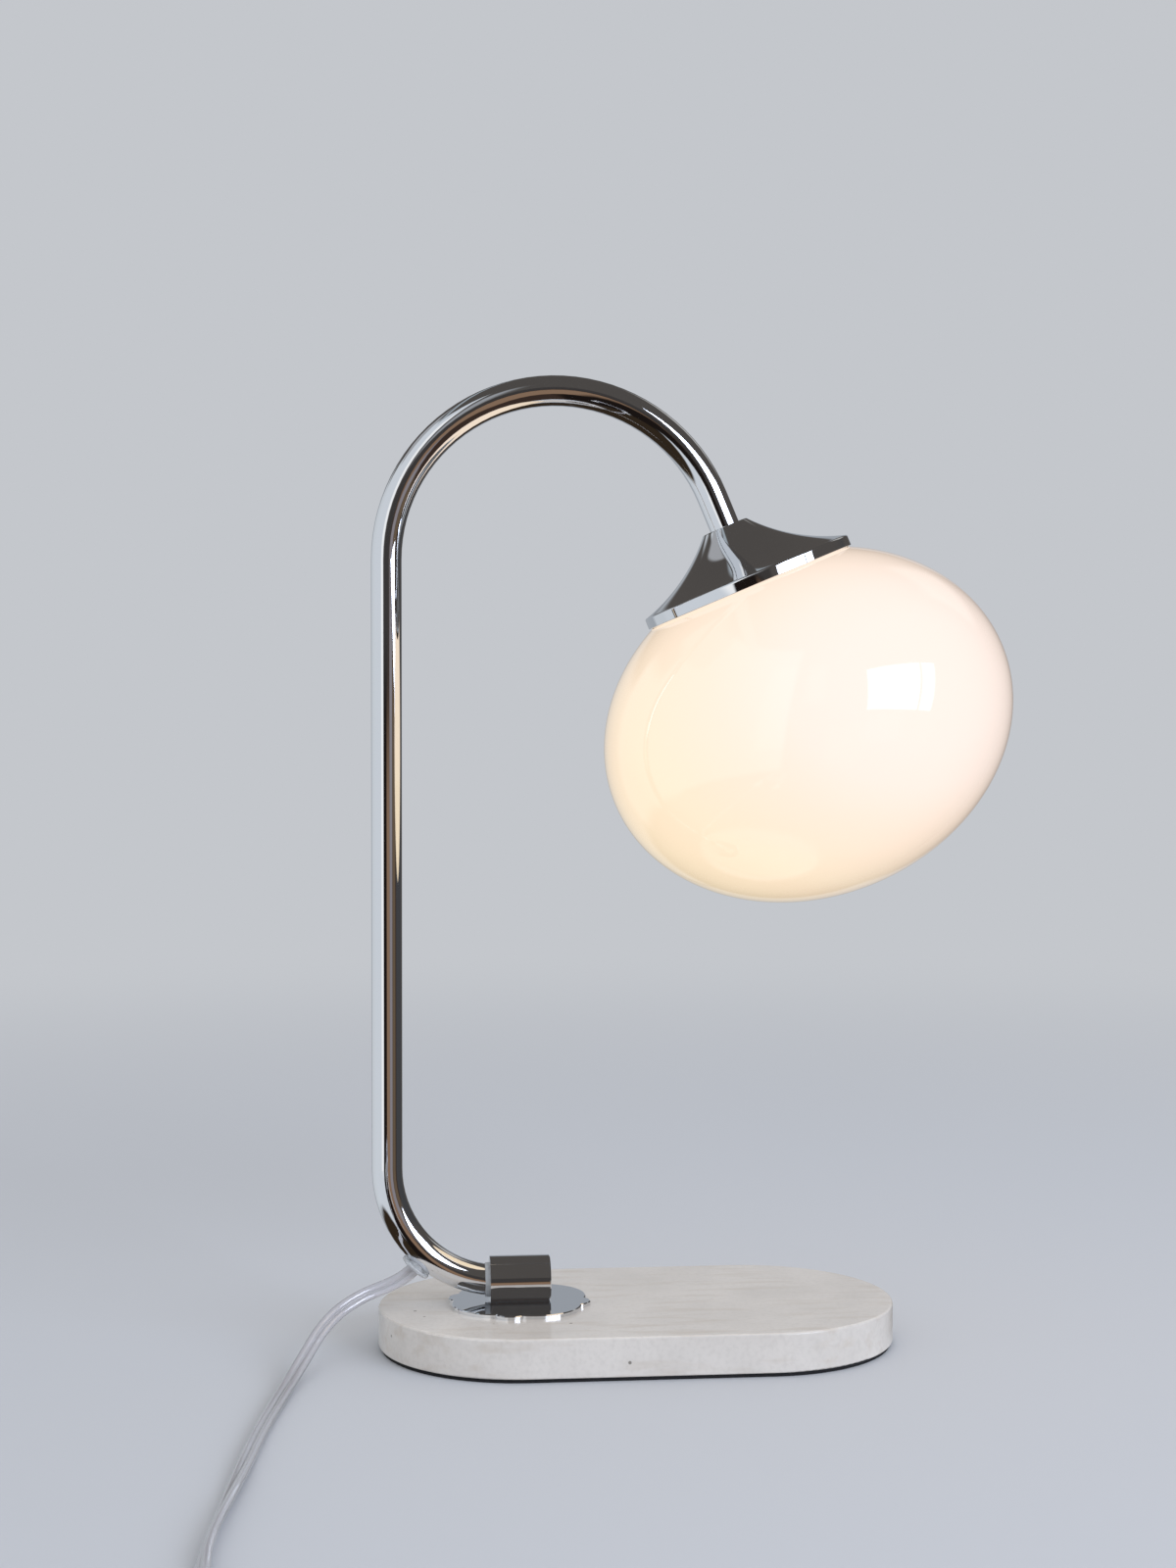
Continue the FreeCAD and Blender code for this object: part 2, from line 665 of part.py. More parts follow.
def arm_tube():
    """One drawn tube: foot, lower bend, upright, arch and the straight end that carries the cap."""
    body = new_body("TubeBody")
    path = plane_sketch(body, "XZ_Plane", "TubePath")
    corners = [
        (FOOT_END, ARM_AXIS),
        (FOOT_START, ARM_AXIS),
        (ARM_X, f"({ARM_AXIS} + Sizes.bend_radius)"),
        (ARM_X, "Sizes.arch_height"),
        (ARCH_END_X, ARCH_END_Z),
        (ARM_END_X, ARM_END_Z),
    ]
    arcs = {
        1: dict(turn="right", centre_x=FOOT_START),
        3: dict(turn="right", centre_x=f"({ARM_X} + Sizes.arch_radius)"),
    }
    outline(path, corners, arcs, closed=False)
    section = plane_sketch(body, "YZ_Plane", "TubeSection", FOOT_END)
    ring_outline(section, ("0", ARM_AXIS), "Sizes.tube_radius", TUBE_BORE)
    sweep = body.newObject("PartDesign::AdditivePipe", "TubeSweep")
    sweep.Profile = section
    sweep.Spine = (path, [""])
    doc.recompute()
    wall = f"({ARM_AXIS} - Sizes.tube_radius - Sizes.running_gap)"
    radius = "Sizes.screw_radius + Sizes.screw_clearance"
    tools = [cylinder(f"TubeFootHole{index}", radius, "Sizes.tube_radius", (x, "0", wall))
             for index, x in enumerate(screw_places())]
    node("arm_tube", cut("ArmTube", body, tools + [exit_tool()]))


def arm_insert():
    """Steel bar in the tube's foot, tapped for the two screws."""
    radius = f"({TUBE_BORE} - Sizes.fit_clearance)"
    bar = cylinder("InsertBar", radius, "Sizes.insert_length",
                   (f"{FOOT_END} - Sizes.insert_length", "0", ARM_AXIS), "90", (0, 1, 0))
    tools = [cylinder(f"InsertHole{index}", "Sizes.screw_radius + Sizes.thread_clearance",
                      "Sizes.tube_radius * 2", (x, "0", f"{ARM_AXIS} - Sizes.tube_radius"))
             for index, x in enumerate(screw_places())]
    node("arm_foot_insert", cut("ArmInsert", bar, tools))


def cord_grommet():
    """Clear bush that presses into the exit hole and lines it for the cord."""
    seat = "(Sizes.tube_radius + Sizes.running_gap)"
    face = f"({seat} + Sizes.grommet_flange)"
    neck = "(Sizes.exit_hole_radius - Sizes.running_gap)"
    rim, edge = "Sizes.grommet_radius", "Sizes.grommet_edge"
    corners = [
        ("Sizes.grommet_bore", f"({seat} - Sizes.grommet_neck)"),
        (neck, f"({seat} - Sizes.grommet_neck)"),
        (neck, seat),
        (f"({rim} - {edge})", seat),
        (rim, f"({seat} + {edge})"),
        (rim, f"({face} - {edge})"),
        (f"({rim} - {edge})", face),
        ("Sizes.grommet_bore", face),
    ]
    node("cord_grommet", turned("Grommet", corners, (EXIT_X, "0", EXIT_Z), "Sizes.exit_angle - 90"))


def shade_piece(name, corners, arcs=None):
    """A turned piece in the shade's own frame."""
    return turned(name, corners, SHADE, "Sizes.shade_tilt", arcs)


def arm_end():
    """The bush in the arm's end, the hollow threaded rod in it, and the rod's nuts and washer."""
    inner = "(Sizes.nipple_radius + Sizes.thread_clearance)"
    bush = ring_corners(inner, f"({TUBE_BORE} - Sizes.fit_clearance)", "0", "Sizes.bush_length")
    node("arm_end_bush", shade_piece("EndBush", bush))
    rod = ring_corners("Sizes.nipple_bore", "Sizes.nipple_radius", "-Sizes.nipple_below",
                       "Sizes.nipple_above")
    node("cap_nipple", shade_piece("Nipple", rod))
    under_cap = "(-Sizes.cap_wall - Sizes.washer_thickness)"
    washer = ring_corners(inner, "Sizes.cap_washer_radius", under_cap, "-Sizes.cap_wall")
    node("cap_washer", shade_piece("CapWasher", washer))
    nuts = []
    for index, foot in enumerate((f"({under_cap} - Sizes.nut_thickness)", "-Sizes.gallery_drop")):
        body = new_body(f"Nut{index}", SHADE, "Sizes.shade_tilt")
        plan = plane_sketch(body, "XY_Plane", f"NutPlan{index}", foot)
        outline(plan, hexagon("Sizes.nut_across"))
        ring_outline(plan, ("0", "0"), inner)
        pad(body, plan, "Sizes.nut_thickness")
        nuts.append(body)
    node("cap_nuts", group("CapNuts", nuts))


def shade_cap():
    """Spun cap: a flat top, a hollow flare and an upright band round the rim."""
    flare_foot = "Sizes.cap_flare_height"
    rim, edge, wall = "Sizes.cap_rim_radius", "Sizes.cap_edge_round", "Sizes.cap_wall"
    hole = "(Sizes.nipple_radius + Sizes.running_gap)"
    corners = [
        (hole, "0"),
        (hole, f"-{wall}"),
        ("Sizes.cap_top_radius", f"-{wall}"),
        (f"({rim} - 2 * {wall})", f"(-{flare_foot} - {wall})"),
        (CAP_INNER_RIM, f"(-{flare_foot} - 2 * {wall})"),
        (CAP_INNER_RIM, f"-{CAP_HEIGHT}"),
        (rim, f"-{CAP_HEIGHT}"),
        (rim, f"(-{flare_foot} - {edge})"),
        (f"({rim} - {edge})", f"-{flare_foot}"),
        ("Sizes.cap_top_radius", "0"),
    ]
    arcs = {
        2: dict(turn="left", radius="Sizes.cap_flare_radius"),
        7: dict(turn="left", radius=edge),
        8: dict(turn="right", radius="Sizes.cap_flare_radius"),
    }
    node("shade_cap", shade_piece("Cap", corners, arcs))


def shade_gallery():
    """Pressed cup over the glass's neck, with a lip turned in under the neck's bead."""
    top = "(-Sizes.gallery_drop)"
    sheet_foot = f"({top} - Sizes.gallery_sheet)"
    inner = "(Sizes.bead_radius + Sizes.seat_gap)"
    outer = f"({inner} + Sizes.gallery_sheet)"
    bead_foot = f"({NECK_TOP} - Sizes.bead_drop - Sizes.bead_height)"
    lip_top = f"({bead_foot} - Sizes.seat_gap)"
    lip_foot = f"({lip_top} - Sizes.gallery_sheet)"
    hole = "(Sizes.nipple_radius + Sizes.running_gap)"
    corners = [
        (hole, top),
        (hole, sheet_foot),
        (inner, sheet_foot),
        (inner, lip_top),
        ("(Sizes.neck_radius + Sizes.seat_gap)", lip_top),
        ("(Sizes.neck_radius + Sizes.seat_gap)", lip_foot),
        (outer, lip_foot),
        (outer, top),
    ]
    node("shade_gallery", shade_piece("Gallery", corners))


def ellipsoid(name, radius, half_height):
    """A flattened ball about its own centre, lowered to the globe's place in the shade's frame."""
    piece = doc.addObject("Part::Ellipsoid", name)
    piece.setExpression("Radius1", half_height)
    piece.setExpression("Radius2", radius)
    piece.setExpression("Radius3", radius)
    return place(piece, ("0", "0", f"-{GLOBE_DROP}"))


def glass_globe():
    """Blown opal globe with a short beaded neck, open only at the neck."""
    inner_radius = "Sizes.globe_radius - Sizes.glass_wall"
    inner_height = "Sizes.globe_half_height - Sizes.glass_wall"
    below = f"(-{GLOBE_DROP})"
    bead_top = f"({NECK_TOP} - Sizes.bead_drop)"
    neck = cylinder("Neck", "Sizes.neck_radius", f"{NECK_TOP} - {below}", ("0", "0", below))
    bead = cylinder("Bead", "Sizes.bead_radius", "Sizes.bead_height",
                    ("0", "0", f"{bead_top} - Sizes.bead_height"))
    solid = doc.addObject("Part::MultiFuse", "GlobeSolid")
    solid.Shapes = [ellipsoid("GlobeOuter", "Sizes.globe_radius", "Sizes.globe_half_height"),
                    neck, bead]
    hollow = doc.addObject("Part::MultiFuse", "GlobeHollow")
    bore = cylinder("NeckBore", "Sizes.neck_radius - Sizes.glass_wall",
                    f"{NECK_TOP} - {below} + Sizes.glass_wall", ("0", "0", below))
    hollow.Shapes = [ellipsoid("GlobeInner", inner_radius, inner_height), bore]
    globe = cut("Globe", solid, [hollow])
    node("glass_globe", place(globe, SHADE, "Sizes.shade_tilt"))


def lampholder():
    """Screw lampholder: dome, insert, sleeve, threaded shell and centre contact."""
    hole = "(Sizes.nipple_radius + Sizes.thread_clearance)"
    neck_foot = f"({HOLDER_TOP} - Sizes.holder_neck)"
    wall = "Sizes.holder_wall"
    dome = [
        (hole, HOLDER_TOP),
        (hole, f"({neck_foot} - {wall})"),
        ("Sizes.holder_neck_radius", f"({neck_foot} - {wall})"),
        (HOLDER_BORE, CONE_FOOT),
        (HOLDER_BORE, DOME_FOOT),
        ("Sizes.holder_radius", DOME_FOOT),
        ("Sizes.holder_radius", CONE_FOOT),
        ("Sizes.holder_neck_radius", neck_foot),
        ("Sizes.holder_neck_radius", HOLDER_TOP),
    ]
    node("lampholder_dome", shade_piece("HolderDome", dome))
    insert = [
        ("0", INSERT_TOP),
        ("0", INSERT_FOOT),
        (f"({HOLDER_BORE} - Sizes.seat_gap)", INSERT_FOOT),
        (f"({HOLDER_BORE} - Sizes.seat_gap)", INSERT_TOP),
    ]
    node("lampholder_insert", shade_piece("HolderInsert", insert))
    ledge = f"({INSERT_FOOT} - Sizes.running_gap)"
    foot = f"({DOME_FOOT} - Sizes.sleeve_length)"
    sleeve = [
        (HOLDER_BORE, DOME_FOOT),
        (HOLDER_BORE, ledge),
        ("Sizes.sleeve_bore", ledge),
        ("Sizes.sleeve_bore", foot),
        (f"(Sizes.holder_radius - Sizes.sleeve_lip)", foot),
        ("Sizes.holder_radius", f"({foot} + Sizes.sleeve_lip)"),
        ("Sizes.holder_radius", DOME_FOOT),
    ]
    node("lampholder_sleeve", shade_piece("HolderSleeve", sleeve))
    shell = ring_corners("(Sizes.shell_radius - Sizes.shell_wall)", "Sizes.shell_radius",
                         f"({ledge} - Sizes.shell_length)", ledge)
    node("lampholder_shell", shade_piece("HolderShell", shell))
    contact = ring_corners("0", "Sizes.contact_radius", CONTACT_FOOT, ledge)
    node("lampholder_contact", shade_piece("HolderContact", contact))


def bulb():
    """Screw-cap bulb: contact button, cap, collar and the ball that lights."""
    button = ring_corners("0", "Sizes.bulb_button_radius", BULB_CAP_TOP, BUTTON_TOP)
    node("bulb_contact", shade_piece("BulbButton", button))
    taper_foot = f"({BULB_CAP_TOP} - Sizes.bulb_cap_taper)"
    cap = [
        ("0", BULB_CAP_TOP),
        ("0", COLLAR_TOP),
        ("Sizes.bulb_cap_radius", COLLAR_TOP),
        ("Sizes.bulb_cap_radius", taper_foot),
        ("Sizes.bulb_button_radius", BULB_CAP_TOP),
    ]
    node("bulb_cap", shade_piece("BulbCap", cap))
    collar = [
        ("0", COLLAR_TOP),
        ("0", COLLAR_FOOT),
        ("Sizes.collar_radius", COLLAR_FOOT),
        ("Sizes.bulb_cap_radius", COLLAR_TOP),
    ]
    node("bulb_collar", shade_piece("BulbCollar", collar))
    ball = [
        ("0", COLLAR_FOOT),
        ("0", f"({COLLAR_FOOT} - {BULB_DROP} - Sizes.bulb_radius)"),
        ("Sizes.collar_radius", COLLAR_FOOT),
    ]
    arcs = {1: dict(turn="left", centre_x="0")}
    node("bulb_glass", shade_piece("BulbBall", ball, arcs))


def switch_plan(body, name, offset="0", wall="0", end_wall="0"):
    """The switch's boat-shaped plan, drawn in by its walls."""
    half_end = f"(Sizes.switch_end_width / 2 - {wall})"
    reach = f"(Sizes.switch_length / 2 - {end_wall})"
    radius = f"(Sizes.switch_bow_radius - {wall})"
    corners = [(f"-{half_end}", f"-{reach}"), (half_end, f"-{reach}"), (half_end, reach),
               (f"-{half_end}", reach)]
    arcs = {1: dict(turn="left", radius=radius), 3: dict(turn="left", radius=radius)}
    return outline(plane_sketch(body, "XY_Plane", name, offset), corners, arcs)


def switch_boss_places():
    """The y of each screw boss."""
    return ["-Sizes.switch_screw_spacing / 2", "Sizes.switch_screw_spacing / 2"]


def cord_entry_tools(name):
    """The two blind holes that hold the cord's ends, half in each shell."""
    depth = "Sizes.switch_entry"
    radius = "Sizes.cord_radius + Sizes.cord_clearance"
    front = f"(Sizes.switch_y - Sizes.switch_length / 2 + {depth})"
    back = "(Sizes.switch_y + Sizes.switch_length / 2 + Sizes.running_gap)"
    return [
        cylinder(f"{name}Entry{index}", radius, f"{depth} + Sizes.running_gap",
                 ("Sizes.switch_x", y, "Sizes.switch_split"), "90", (1, 0, 0))
        for index, y in enumerate((front, back))
    ]


def switch_lower():
    """Lower half of the switch, with its screw bosses."""
    body = new_body("LowerShellBody", ("Sizes.switch_x", "Sizes.switch_y", "0"))
    pad(body, switch_plan(body, "LowerPlan"), "Sizes.switch_split")
    dress(body, "Fillet", "Sizes.switch_foot_round", lambda p: near(p.z, "0"))
    pocket(body, switch_plan(body, "LowerHollow", "Sizes.switch_wall", "Sizes.switch_wall",
                             "Sizes.switch_end_wall"), "Sizes.switch_split", reverse=True)
    bosses = plane_sketch(body, "XY_Plane", "LowerBosses", "Sizes.switch_wall")
    for y in switch_boss_places():
        ring_outline(bosses, ("0", y), "Sizes.switch_boss_radius")
    pad(body, bosses, "Sizes.switch_split - Sizes.switch_wall")
    holes = plane_sketch(body, "XY_Plane", "LowerHoles")
    heads = plane_sketch(body, "XY_Plane", "LowerHeads")
    for y in switch_boss_places():
        ring_outline(holes, ("0", y), "Sizes.switch_screw_radius + Sizes.running_gap")
        ring_outline(heads, ("0", y), "Sizes.switch_screw_head + Sizes.running_gap")
    pocket(body, holes, "Sizes.switch_split", reverse=True)
    pocket(body, heads, "Sizes.switch_wall", reverse=True)
    node("switch_lower_shell", cut("LowerShell", body, cord_entry_tools("Lower")))


def switch_upper():
    """Upper half, with the rocker's window and two ears for its pin."""
    body = new_body("UpperShellBody", ("Sizes.switch_x", "Sizes.switch_y", "0"))
    height = "(Sizes.switch_top - Sizes.switch_split)"
    ceiling = "(Sizes.switch_top - Sizes.switch_wall)"
    pad(body, switch_plan(body, "UpperPlan", "Sizes.switch_split"), height)
    dress(body, "Fillet", "Sizes.switch_edge_round", lambda p: near(p.z, "Sizes.switch_top"))
    pocket(body, switch_plan(body, "UpperHollow", "Sizes.switch_split", "Sizes.switch_wall",
                             "Sizes.switch_end_wall"),
           f"{ceiling} - Sizes.switch_split", reverse=True)
    supports = plane_sketch(body, "XY_Plane", "UpperBosses", "Sizes.switch_split")
    for y in switch_boss_places():
        ring_outline(supports, ("0", y), "Sizes.switch_boss_radius")
    pad(body, supports, f"{ceiling} - Sizes.switch_split")
    ear_foot = "(Sizes.rocker_pivot - Sizes.ear_drop)"
    inner = "Sizes.window_width / 2"
    for side, sign in (("Left", "-"), ("Right", "")):
        middle = f"{sign}({inner} + Sizes.ear_thickness / 2)"
        ear = rectangle(body, "XY_Plane", f"Ear{side}", "Sizes.ear_thickness", "Sizes.ear_width",
                        ear_foot, (middle, "0"))
        pad(body, ear, f"{ceiling} - {ear_foot}")
    window = rectangle(body, "XY_Plane", "Window", "Sizes.window_width", "Sizes.window_length",
                       ear_foot)
    pocket(body, window, f"Sizes.switch_top - {ear_foot}", reverse=True)
    holes = plane_sketch(body, "XY_Plane", "UpperHoles")
    for y in switch_boss_places():
        ring_outline(holes, ("0", y), "Sizes.switch_screw_radius + Sizes.thread_clearance")
    pocket(body, holes, "Sizes.switch_screw_length + Sizes.switch_wall + Sizes.running_gap",
           reverse=True)
    pin_hole = cylinder("PinHole", "Sizes.pin_radius + Sizes.thread_clearance",
                        "Sizes.pin_length + 2 * Sizes.running_gap", pin_start(), "90", (0, 1, 0))
    node("switch_upper_shell", cut("UpperShell", body, cord_entry_tools("Upper") + [pin_hole]))


def pin_start():
    """The left end of the rocker's pin."""
    return ("Sizes.switch_x - Sizes.pin_length / 2 - Sizes.running_gap", "Sizes.switch_y",
            "Sizes.rocker_pivot")


def switch_rocker():
    """Rocker with a dished top, at rest on its ON side."""
    body = new_body("RockerBody", ("Sizes.switch_x", "Sizes.switch_y", "Sizes.rocker_pivot"),
                    "Sizes.rocker_tilt", (1, 0, 0))
    reach = "Sizes.rocker_reach"
    crest = f"sqrt(pow({reach}; 2) - pow(Sizes.rocker_crest; 2))"
    skirt = f"sqrt(pow({reach}; 2) - pow(Sizes.rocker_skirt; 2))"
    keel = "Sizes.rocker_keel_half"
    corners = [
        (f"-{keel}", "-Sizes.rocker_keel"),
        (keel, "-Sizes.rocker_keel"),
        (skirt, "-Sizes.rocker_skirt"),
        (crest, "Sizes.rocker_crest"),
        ("0", "Sizes.rocker_dip"),
        (f"-{crest}", "Sizes.rocker_crest"),
        (f"-{skirt}", "-Sizes.rocker_skirt"),
    ]
    arcs = {2: dict(turn="left", radius=reach), 5: dict(turn="left", radius=reach)}
    profile = outline(plane_sketch(body, "YZ_Plane", "RockerProfile"), corners, arcs)
    ring_outline(profile, ("0", "0"), "Sizes.pin_radius + Sizes.fit_clearance")
    pad(body, profile, "Sizes.rocker_width", both_ways=True)
    node("switch_rocker", body)


def switch_fittings():
    """The rocker's pin, the two screws and the two terminals."""
    x, y, z = pin_start()
    pin = cylinder("RockerPin", "Sizes.pin_radius", "Sizes.pin_length",
                   (f"{x} + Sizes.running_gap", y, z), "90", (0, 1, 0))
    node("rocker_pin", pin)
    screws = []
    blocks = []
    for index, sign in enumerate("-+"):
        middle = f"Sizes.switch_y {sign} Sizes.switch_screw_spacing / 2"
        head = "(Sizes.switch_wall - Sizes.running_gap)"
        corners = [
            ("0", "Sizes.seat_gap"),
            ("Sizes.switch_screw_head", "Sizes.seat_gap"),
            ("Sizes.switch_screw_head", head),
            ("Sizes.switch_screw_radius", head),
            ("Sizes.switch_screw_radius", f"({head} + Sizes.switch_screw_length)"),
            ("0", f"({head} + Sizes.switch_screw_length)"),
        ]
        screws.append(turned(f"ShellScrew{index}", corners, ("Sizes.switch_x", middle, "0")))
        block = doc.addObject("Part::Box", f"Terminal{index}")
        block.setExpression("Length", "Sizes.terminal_width")
        block.setExpression("Width", "Sizes.terminal_length")
        block.setExpression("Height", "Sizes.terminal_height")
        start = (f"Sizes.switch_y {sign} Sizes.terminal_spacing / 2 - Sizes.terminal_length / 2")
        place(block, ("Sizes.switch_x - Sizes.terminal_width / 2", start, "Sizes.switch_wall"))
        blocks.append(block)
    node("switch_screws", group("ShellScrews", screws))
    node("switch_terminals", group("Terminals", blocks))


def plug_section(body, name, back, width, thickness, flat, side):
    """One cross-section of the plug: a flat-sided octagon, square to its pins."""
    x, z = f"({width} / 2)", f"({thickness} / 2)"
    across, up = f"({flat} / 2)", f"({side} / 2)"
    corners = [(f"-{x}", f"-{up}"), (f"-{across}", f"-{z}"), (across, f"-{z}"), (x, f"-{up}"),
               (x, up), (across, z), (f"-{across}", z), (f"-{x}", up)]
    return outline(plane_sketch(body, "XZ_Plane", name, back), corners)


def plug():
    """Moulded plug with its strain relief, and its two round pins in insulating sleeves."""
    at = (f"({coil_middle_x()} + {coil_outer()})", "Sizes.plug_y", "Sizes.plug_thickness / 2")
    body = new_body("PlugBody", at)
    full = ("Sizes.plug_width", "Sizes.plug_thickness", "Sizes.plug_flat", "Sizes.plug_side")
    tail = ("Sizes.plug_tail_width", "Sizes.plug_tail_thickness",
            "Sizes.plug_flat * Sizes.plug_tail_width / Sizes.plug_width",
            "Sizes.plug_side * Sizes.plug_tail_thickness / Sizes.plug_thickness")
    sections = [
        plug_section(body, "PlugFace", "0", *full),
        plug_section(body, "PlugGrip", "Sizes.plug_grip", *full),
        plug_section(body, "PlugTail", "Sizes.plug_length", *tail),
    ]
    loft = body.newObject("PartDesign::AdditiveLoft", "PlugLoft")
    loft.Profile = sections[0]
    loft.Sections = sections[1:]
    loft.Ruled = True
    doc.recompute()
    tip = "(-Sizes.plug_length - Sizes.relief_length)"
    relief = [("0", tip), ("Sizes.relief_tip_radius", tip),
              ("Sizes.relief_radius", "-Sizes.plug_length"), ("0", "-Sizes.plug_length")]
    revolve(body, outline(plane_sketch(body, "XY_Plane", "ReliefOutline"), relief))
    holes = plane_sketch(body, "XZ_Plane", "PinHoles")
    for sign in "-+":
        ring_outline(holes, (f"(0 {sign} Sizes.plug_pin_spacing / 2)", "0"),
                     "Sizes.plug_pin_root_radius + Sizes.fit_clearance")
    pocket(body, holes, "Sizes.plug_pin_depth", reverse=True)
    node("plug_body", body)
    pins = []
    sleeves = []
    sleeved = "(Sizes.plug_pin_length - Sizes.plug_pin_bare)"
    length, round_off = "Sizes.plug_pin_length", "Sizes.plug_pin_round"
    root = "Sizes.plug_pin_root_radius"
    for index, sign in enumerate("-+"):
        place_of = (f"{at[0]} {sign} Sizes.plug_pin_spacing / 2", at[1], at[2])
        corners = [
            ("0", "-Sizes.plug_pin_depth"),
            (root, "-Sizes.plug_pin_depth"),
            (root, sleeved),
            ("Sizes.plug_pin_radius", sleeved),
            ("Sizes.plug_pin_radius", f"({length} - {round_off})"),
            (f"(Sizes.plug_pin_radius - {round_off})", length),
            ("0", length),
        ]
        pins.append(turned(f"PlugPin{index}", corners, place_of, "90",
                           {4: dict(turn="left", radius=round_off)}, (-1, 0, 0)))
        ring = ring_corners(f"({root} + Sizes.fit_clearance)", "Sizes.plug_pin_radius", "0",
                            sleeved)
        sleeves.append(turned(f"PinSleeve{index}", ring, place_of, "90", None, (-1, 0, 0)))
    node("plug_pins", group("PlugPins", pins))
    node("plug_pin_sleeves", group("PinSleeves", sleeves))


def coil_outer():
    """The radius of the coil's outermost turn."""
    return f"(Sizes.coil_inner + {COIL_TURNS_A_LAYER} * Sizes.coil_pitch)"


def coil_middle_x():
    """The x of the coil's middle: its outer turn starts in line with the switch."""
    return f"(Sizes.switch_x + {coil_outer()})"


def arc_edge(start, apex, end):
    """The arc that leaves start towards the apex and reaches end from it, both at one distance."""
    middle = (start + end) * 0.5
    half_turn = math.atan2((apex - middle).Length, (end - start).Length / 2)
    share = math.tan(half_turn / 2) / math.tan(half_turn)
    return Part.Arc(start, middle + (apex - middle) * share, end).toShape()


def rounded_edges(points, share=0.45):
    """Straight runs between the points, joined by arcs that take a share of the shorter run."""
    edges = []
    radii = []
    here = points[0]
    for before, point, after in zip(points, points[1:], points[2:]):
        back, ahead = before - point, after - point
        reach = share * min(back.Length, ahead.Length)
        start, end = point + back.normalize() * reach, point + ahead.normalize() * reach
        turn = math.pi - back.getAngle(ahead)
        radii.append(reach / math.tan(turn / 2))
        edges += [Part.LineSegment(here, start).toShape(), arc_edge(start, point, end)]
        here = end
    edges.append(Part.LineSegment(here, points[-1]).toShape())
    return edges, radii


def swept(name, edges, radius):
    """A round tube along the edges, whose volume has to be its section times its length."""
    wire = Part.Wire(edges)
    start = wire.OrderedEdges[0]
    direction = start.tangentAt(start.FirstParameter)
    section = Part.Wire(Part.makeCircle(radius, wire.OrderedVertexes[0].Point, direction))
    solid = wire.makePipeShell([section], True, False)
    expected = math.pi * radius**2 * wire.Length
    if abs(solid.Volume / expected - 1) > 0.01:
        raise ValueError(f"{name}: volume {solid.Volume:.0f}, expected {expected:.0f}")
    piece = doc.addObject("Part::Feature", name)
    piece.Shape = solid
    return piece, wire


def cord_node(name, points, radius):
    """A plain stretch of cord; prints its length and its bends."""
    edges, radii = rounded_edges(points)
    piece, wire = swept(name, edges, radius)
    print(f"{name}: length {wire.Length:.1f}, radii", " ".join(f"{r:.0f}" for r in radii))
    return node(name, piece), wire.Length


def along_exit(distance):
    """A point on the cord's way out, at a distance from the arm's centreline."""
    angle = math.radians(number("Sizes.exit_angle"))
    x, z = number(EXIT_X), number(EXIT_Z)
    return Vector(x + distance * math.cos(angle), 0, z + distance * math.sin(angle))


def lead_end():
    """Where the lead meets the cord, inside the bush."""
    return along_exit(number("Sizes.tube_radius - Sizes.grommet_neck / 2"))


def inner_lead():
    """The lead through the arm, from the exit up over the arch to the lampholder."""
    arm_x = number(ARM_X)
    shade = Placement(Vector(number(ARM_END_X), 0, number(ARM_END_Z)),
                      Rotation(Vector(0, -1, 0), number("Sizes.shade_tilt")))
    low = [lead_end()] + [Vector(arm_x + x, 0, z) for x, z in reversed(LEAD_IN_BEND)]
    arch_start = Vector(arm_x, 0, number("Sizes.arch_height"))
    arch_end = Vector(number(ARCH_END_X), 0, number(ARCH_END_Z))
    arch_radius = number("Sizes.arch_radius")
    centre = arch_start + Vector(arch_radius, 0, 0)
    half = math.radians(180 + number("Sizes.shade_tilt")) / 2
    crown = centre + Vector(math.cos(half), 0, math.sin(half)) * arch_radius
    holder = shade.multVec(Vector(0, 0, number(f"{INSERT_TOP} + Sizes.running_gap")))
    edges, _ = rounded_edges(low + [arch_start])
    edges += [Part.Arc(arch_start, crown, arch_end).toShape(),
              Part.LineSegment(arch_end, holder).toShape()]
    piece, wire = swept("inner_lead", edges, number("Sizes.lead_radius"))
    print(f"inner_lead: length {wire.Length:.1f}")
    node("inner_lead", piece)


def spiral_point(turn, reversal, pitch, layer):
    """The coil's radius and height after a turn in radians: in, up a layer, and out again."""
    radius = number("Sizes.coil_inner") + abs(turn - reversal) / (2 * math.pi) * pitch
    climb = min(max((turn - reversal) / math.pi + 0.5, 0.0), 1.0)
    return radius, number("Sizes.cord_radius") + layer * climb**2 * (3 - 2 * climb)


def coil_points():
    """Points and directions a quarter turn apart along the coil's one unbroken tube."""
    pitch = number("Sizes.coil_pitch")
    middle = Vector(number(coil_middle_x()), number("Sizes.coil_y"), 0)
    reversal = 2 * math.pi * COIL_TURNS_A_LAYER
    step = math.pi / 2
    count = round(COIL_LAYERS * reversal / step)

    def at(turn):
        radius, height = spiral_point(turn, reversal, pitch, pitch)
        angle = math.pi + turn
        return middle + Vector(radius * math.cos(angle), radius * math.sin(angle), height)

    points = [at(index * step) for index in range(count + 1)]
    small = step / 100
    directions = [(at(index * step + small) - at(index * step - small)).normalize()
                  for index in range(count + 1)]
    directions[0], directions[-1] = Vector(0, -1, 0), Vector(0, 1, 0)
    return points, directions


def biarc(start, start_way, end, end_way):
    """Two arcs from start to end that leave and arrive in the given directions."""
    chord, both = end - start, start_way + end_way
    bend = 2 * (1 - start_way.dot(end_way))
    along = chord.dot(both)
    reach = (math.sqrt(along**2 + bend * chord.dot(chord)) - along) / bend
    first, second = start + start_way * reach, end - end_way * reach
    joint = (first + second) * 0.5
    return [arc_edge(start, first, joint), arc_edge(joint, second, end)]


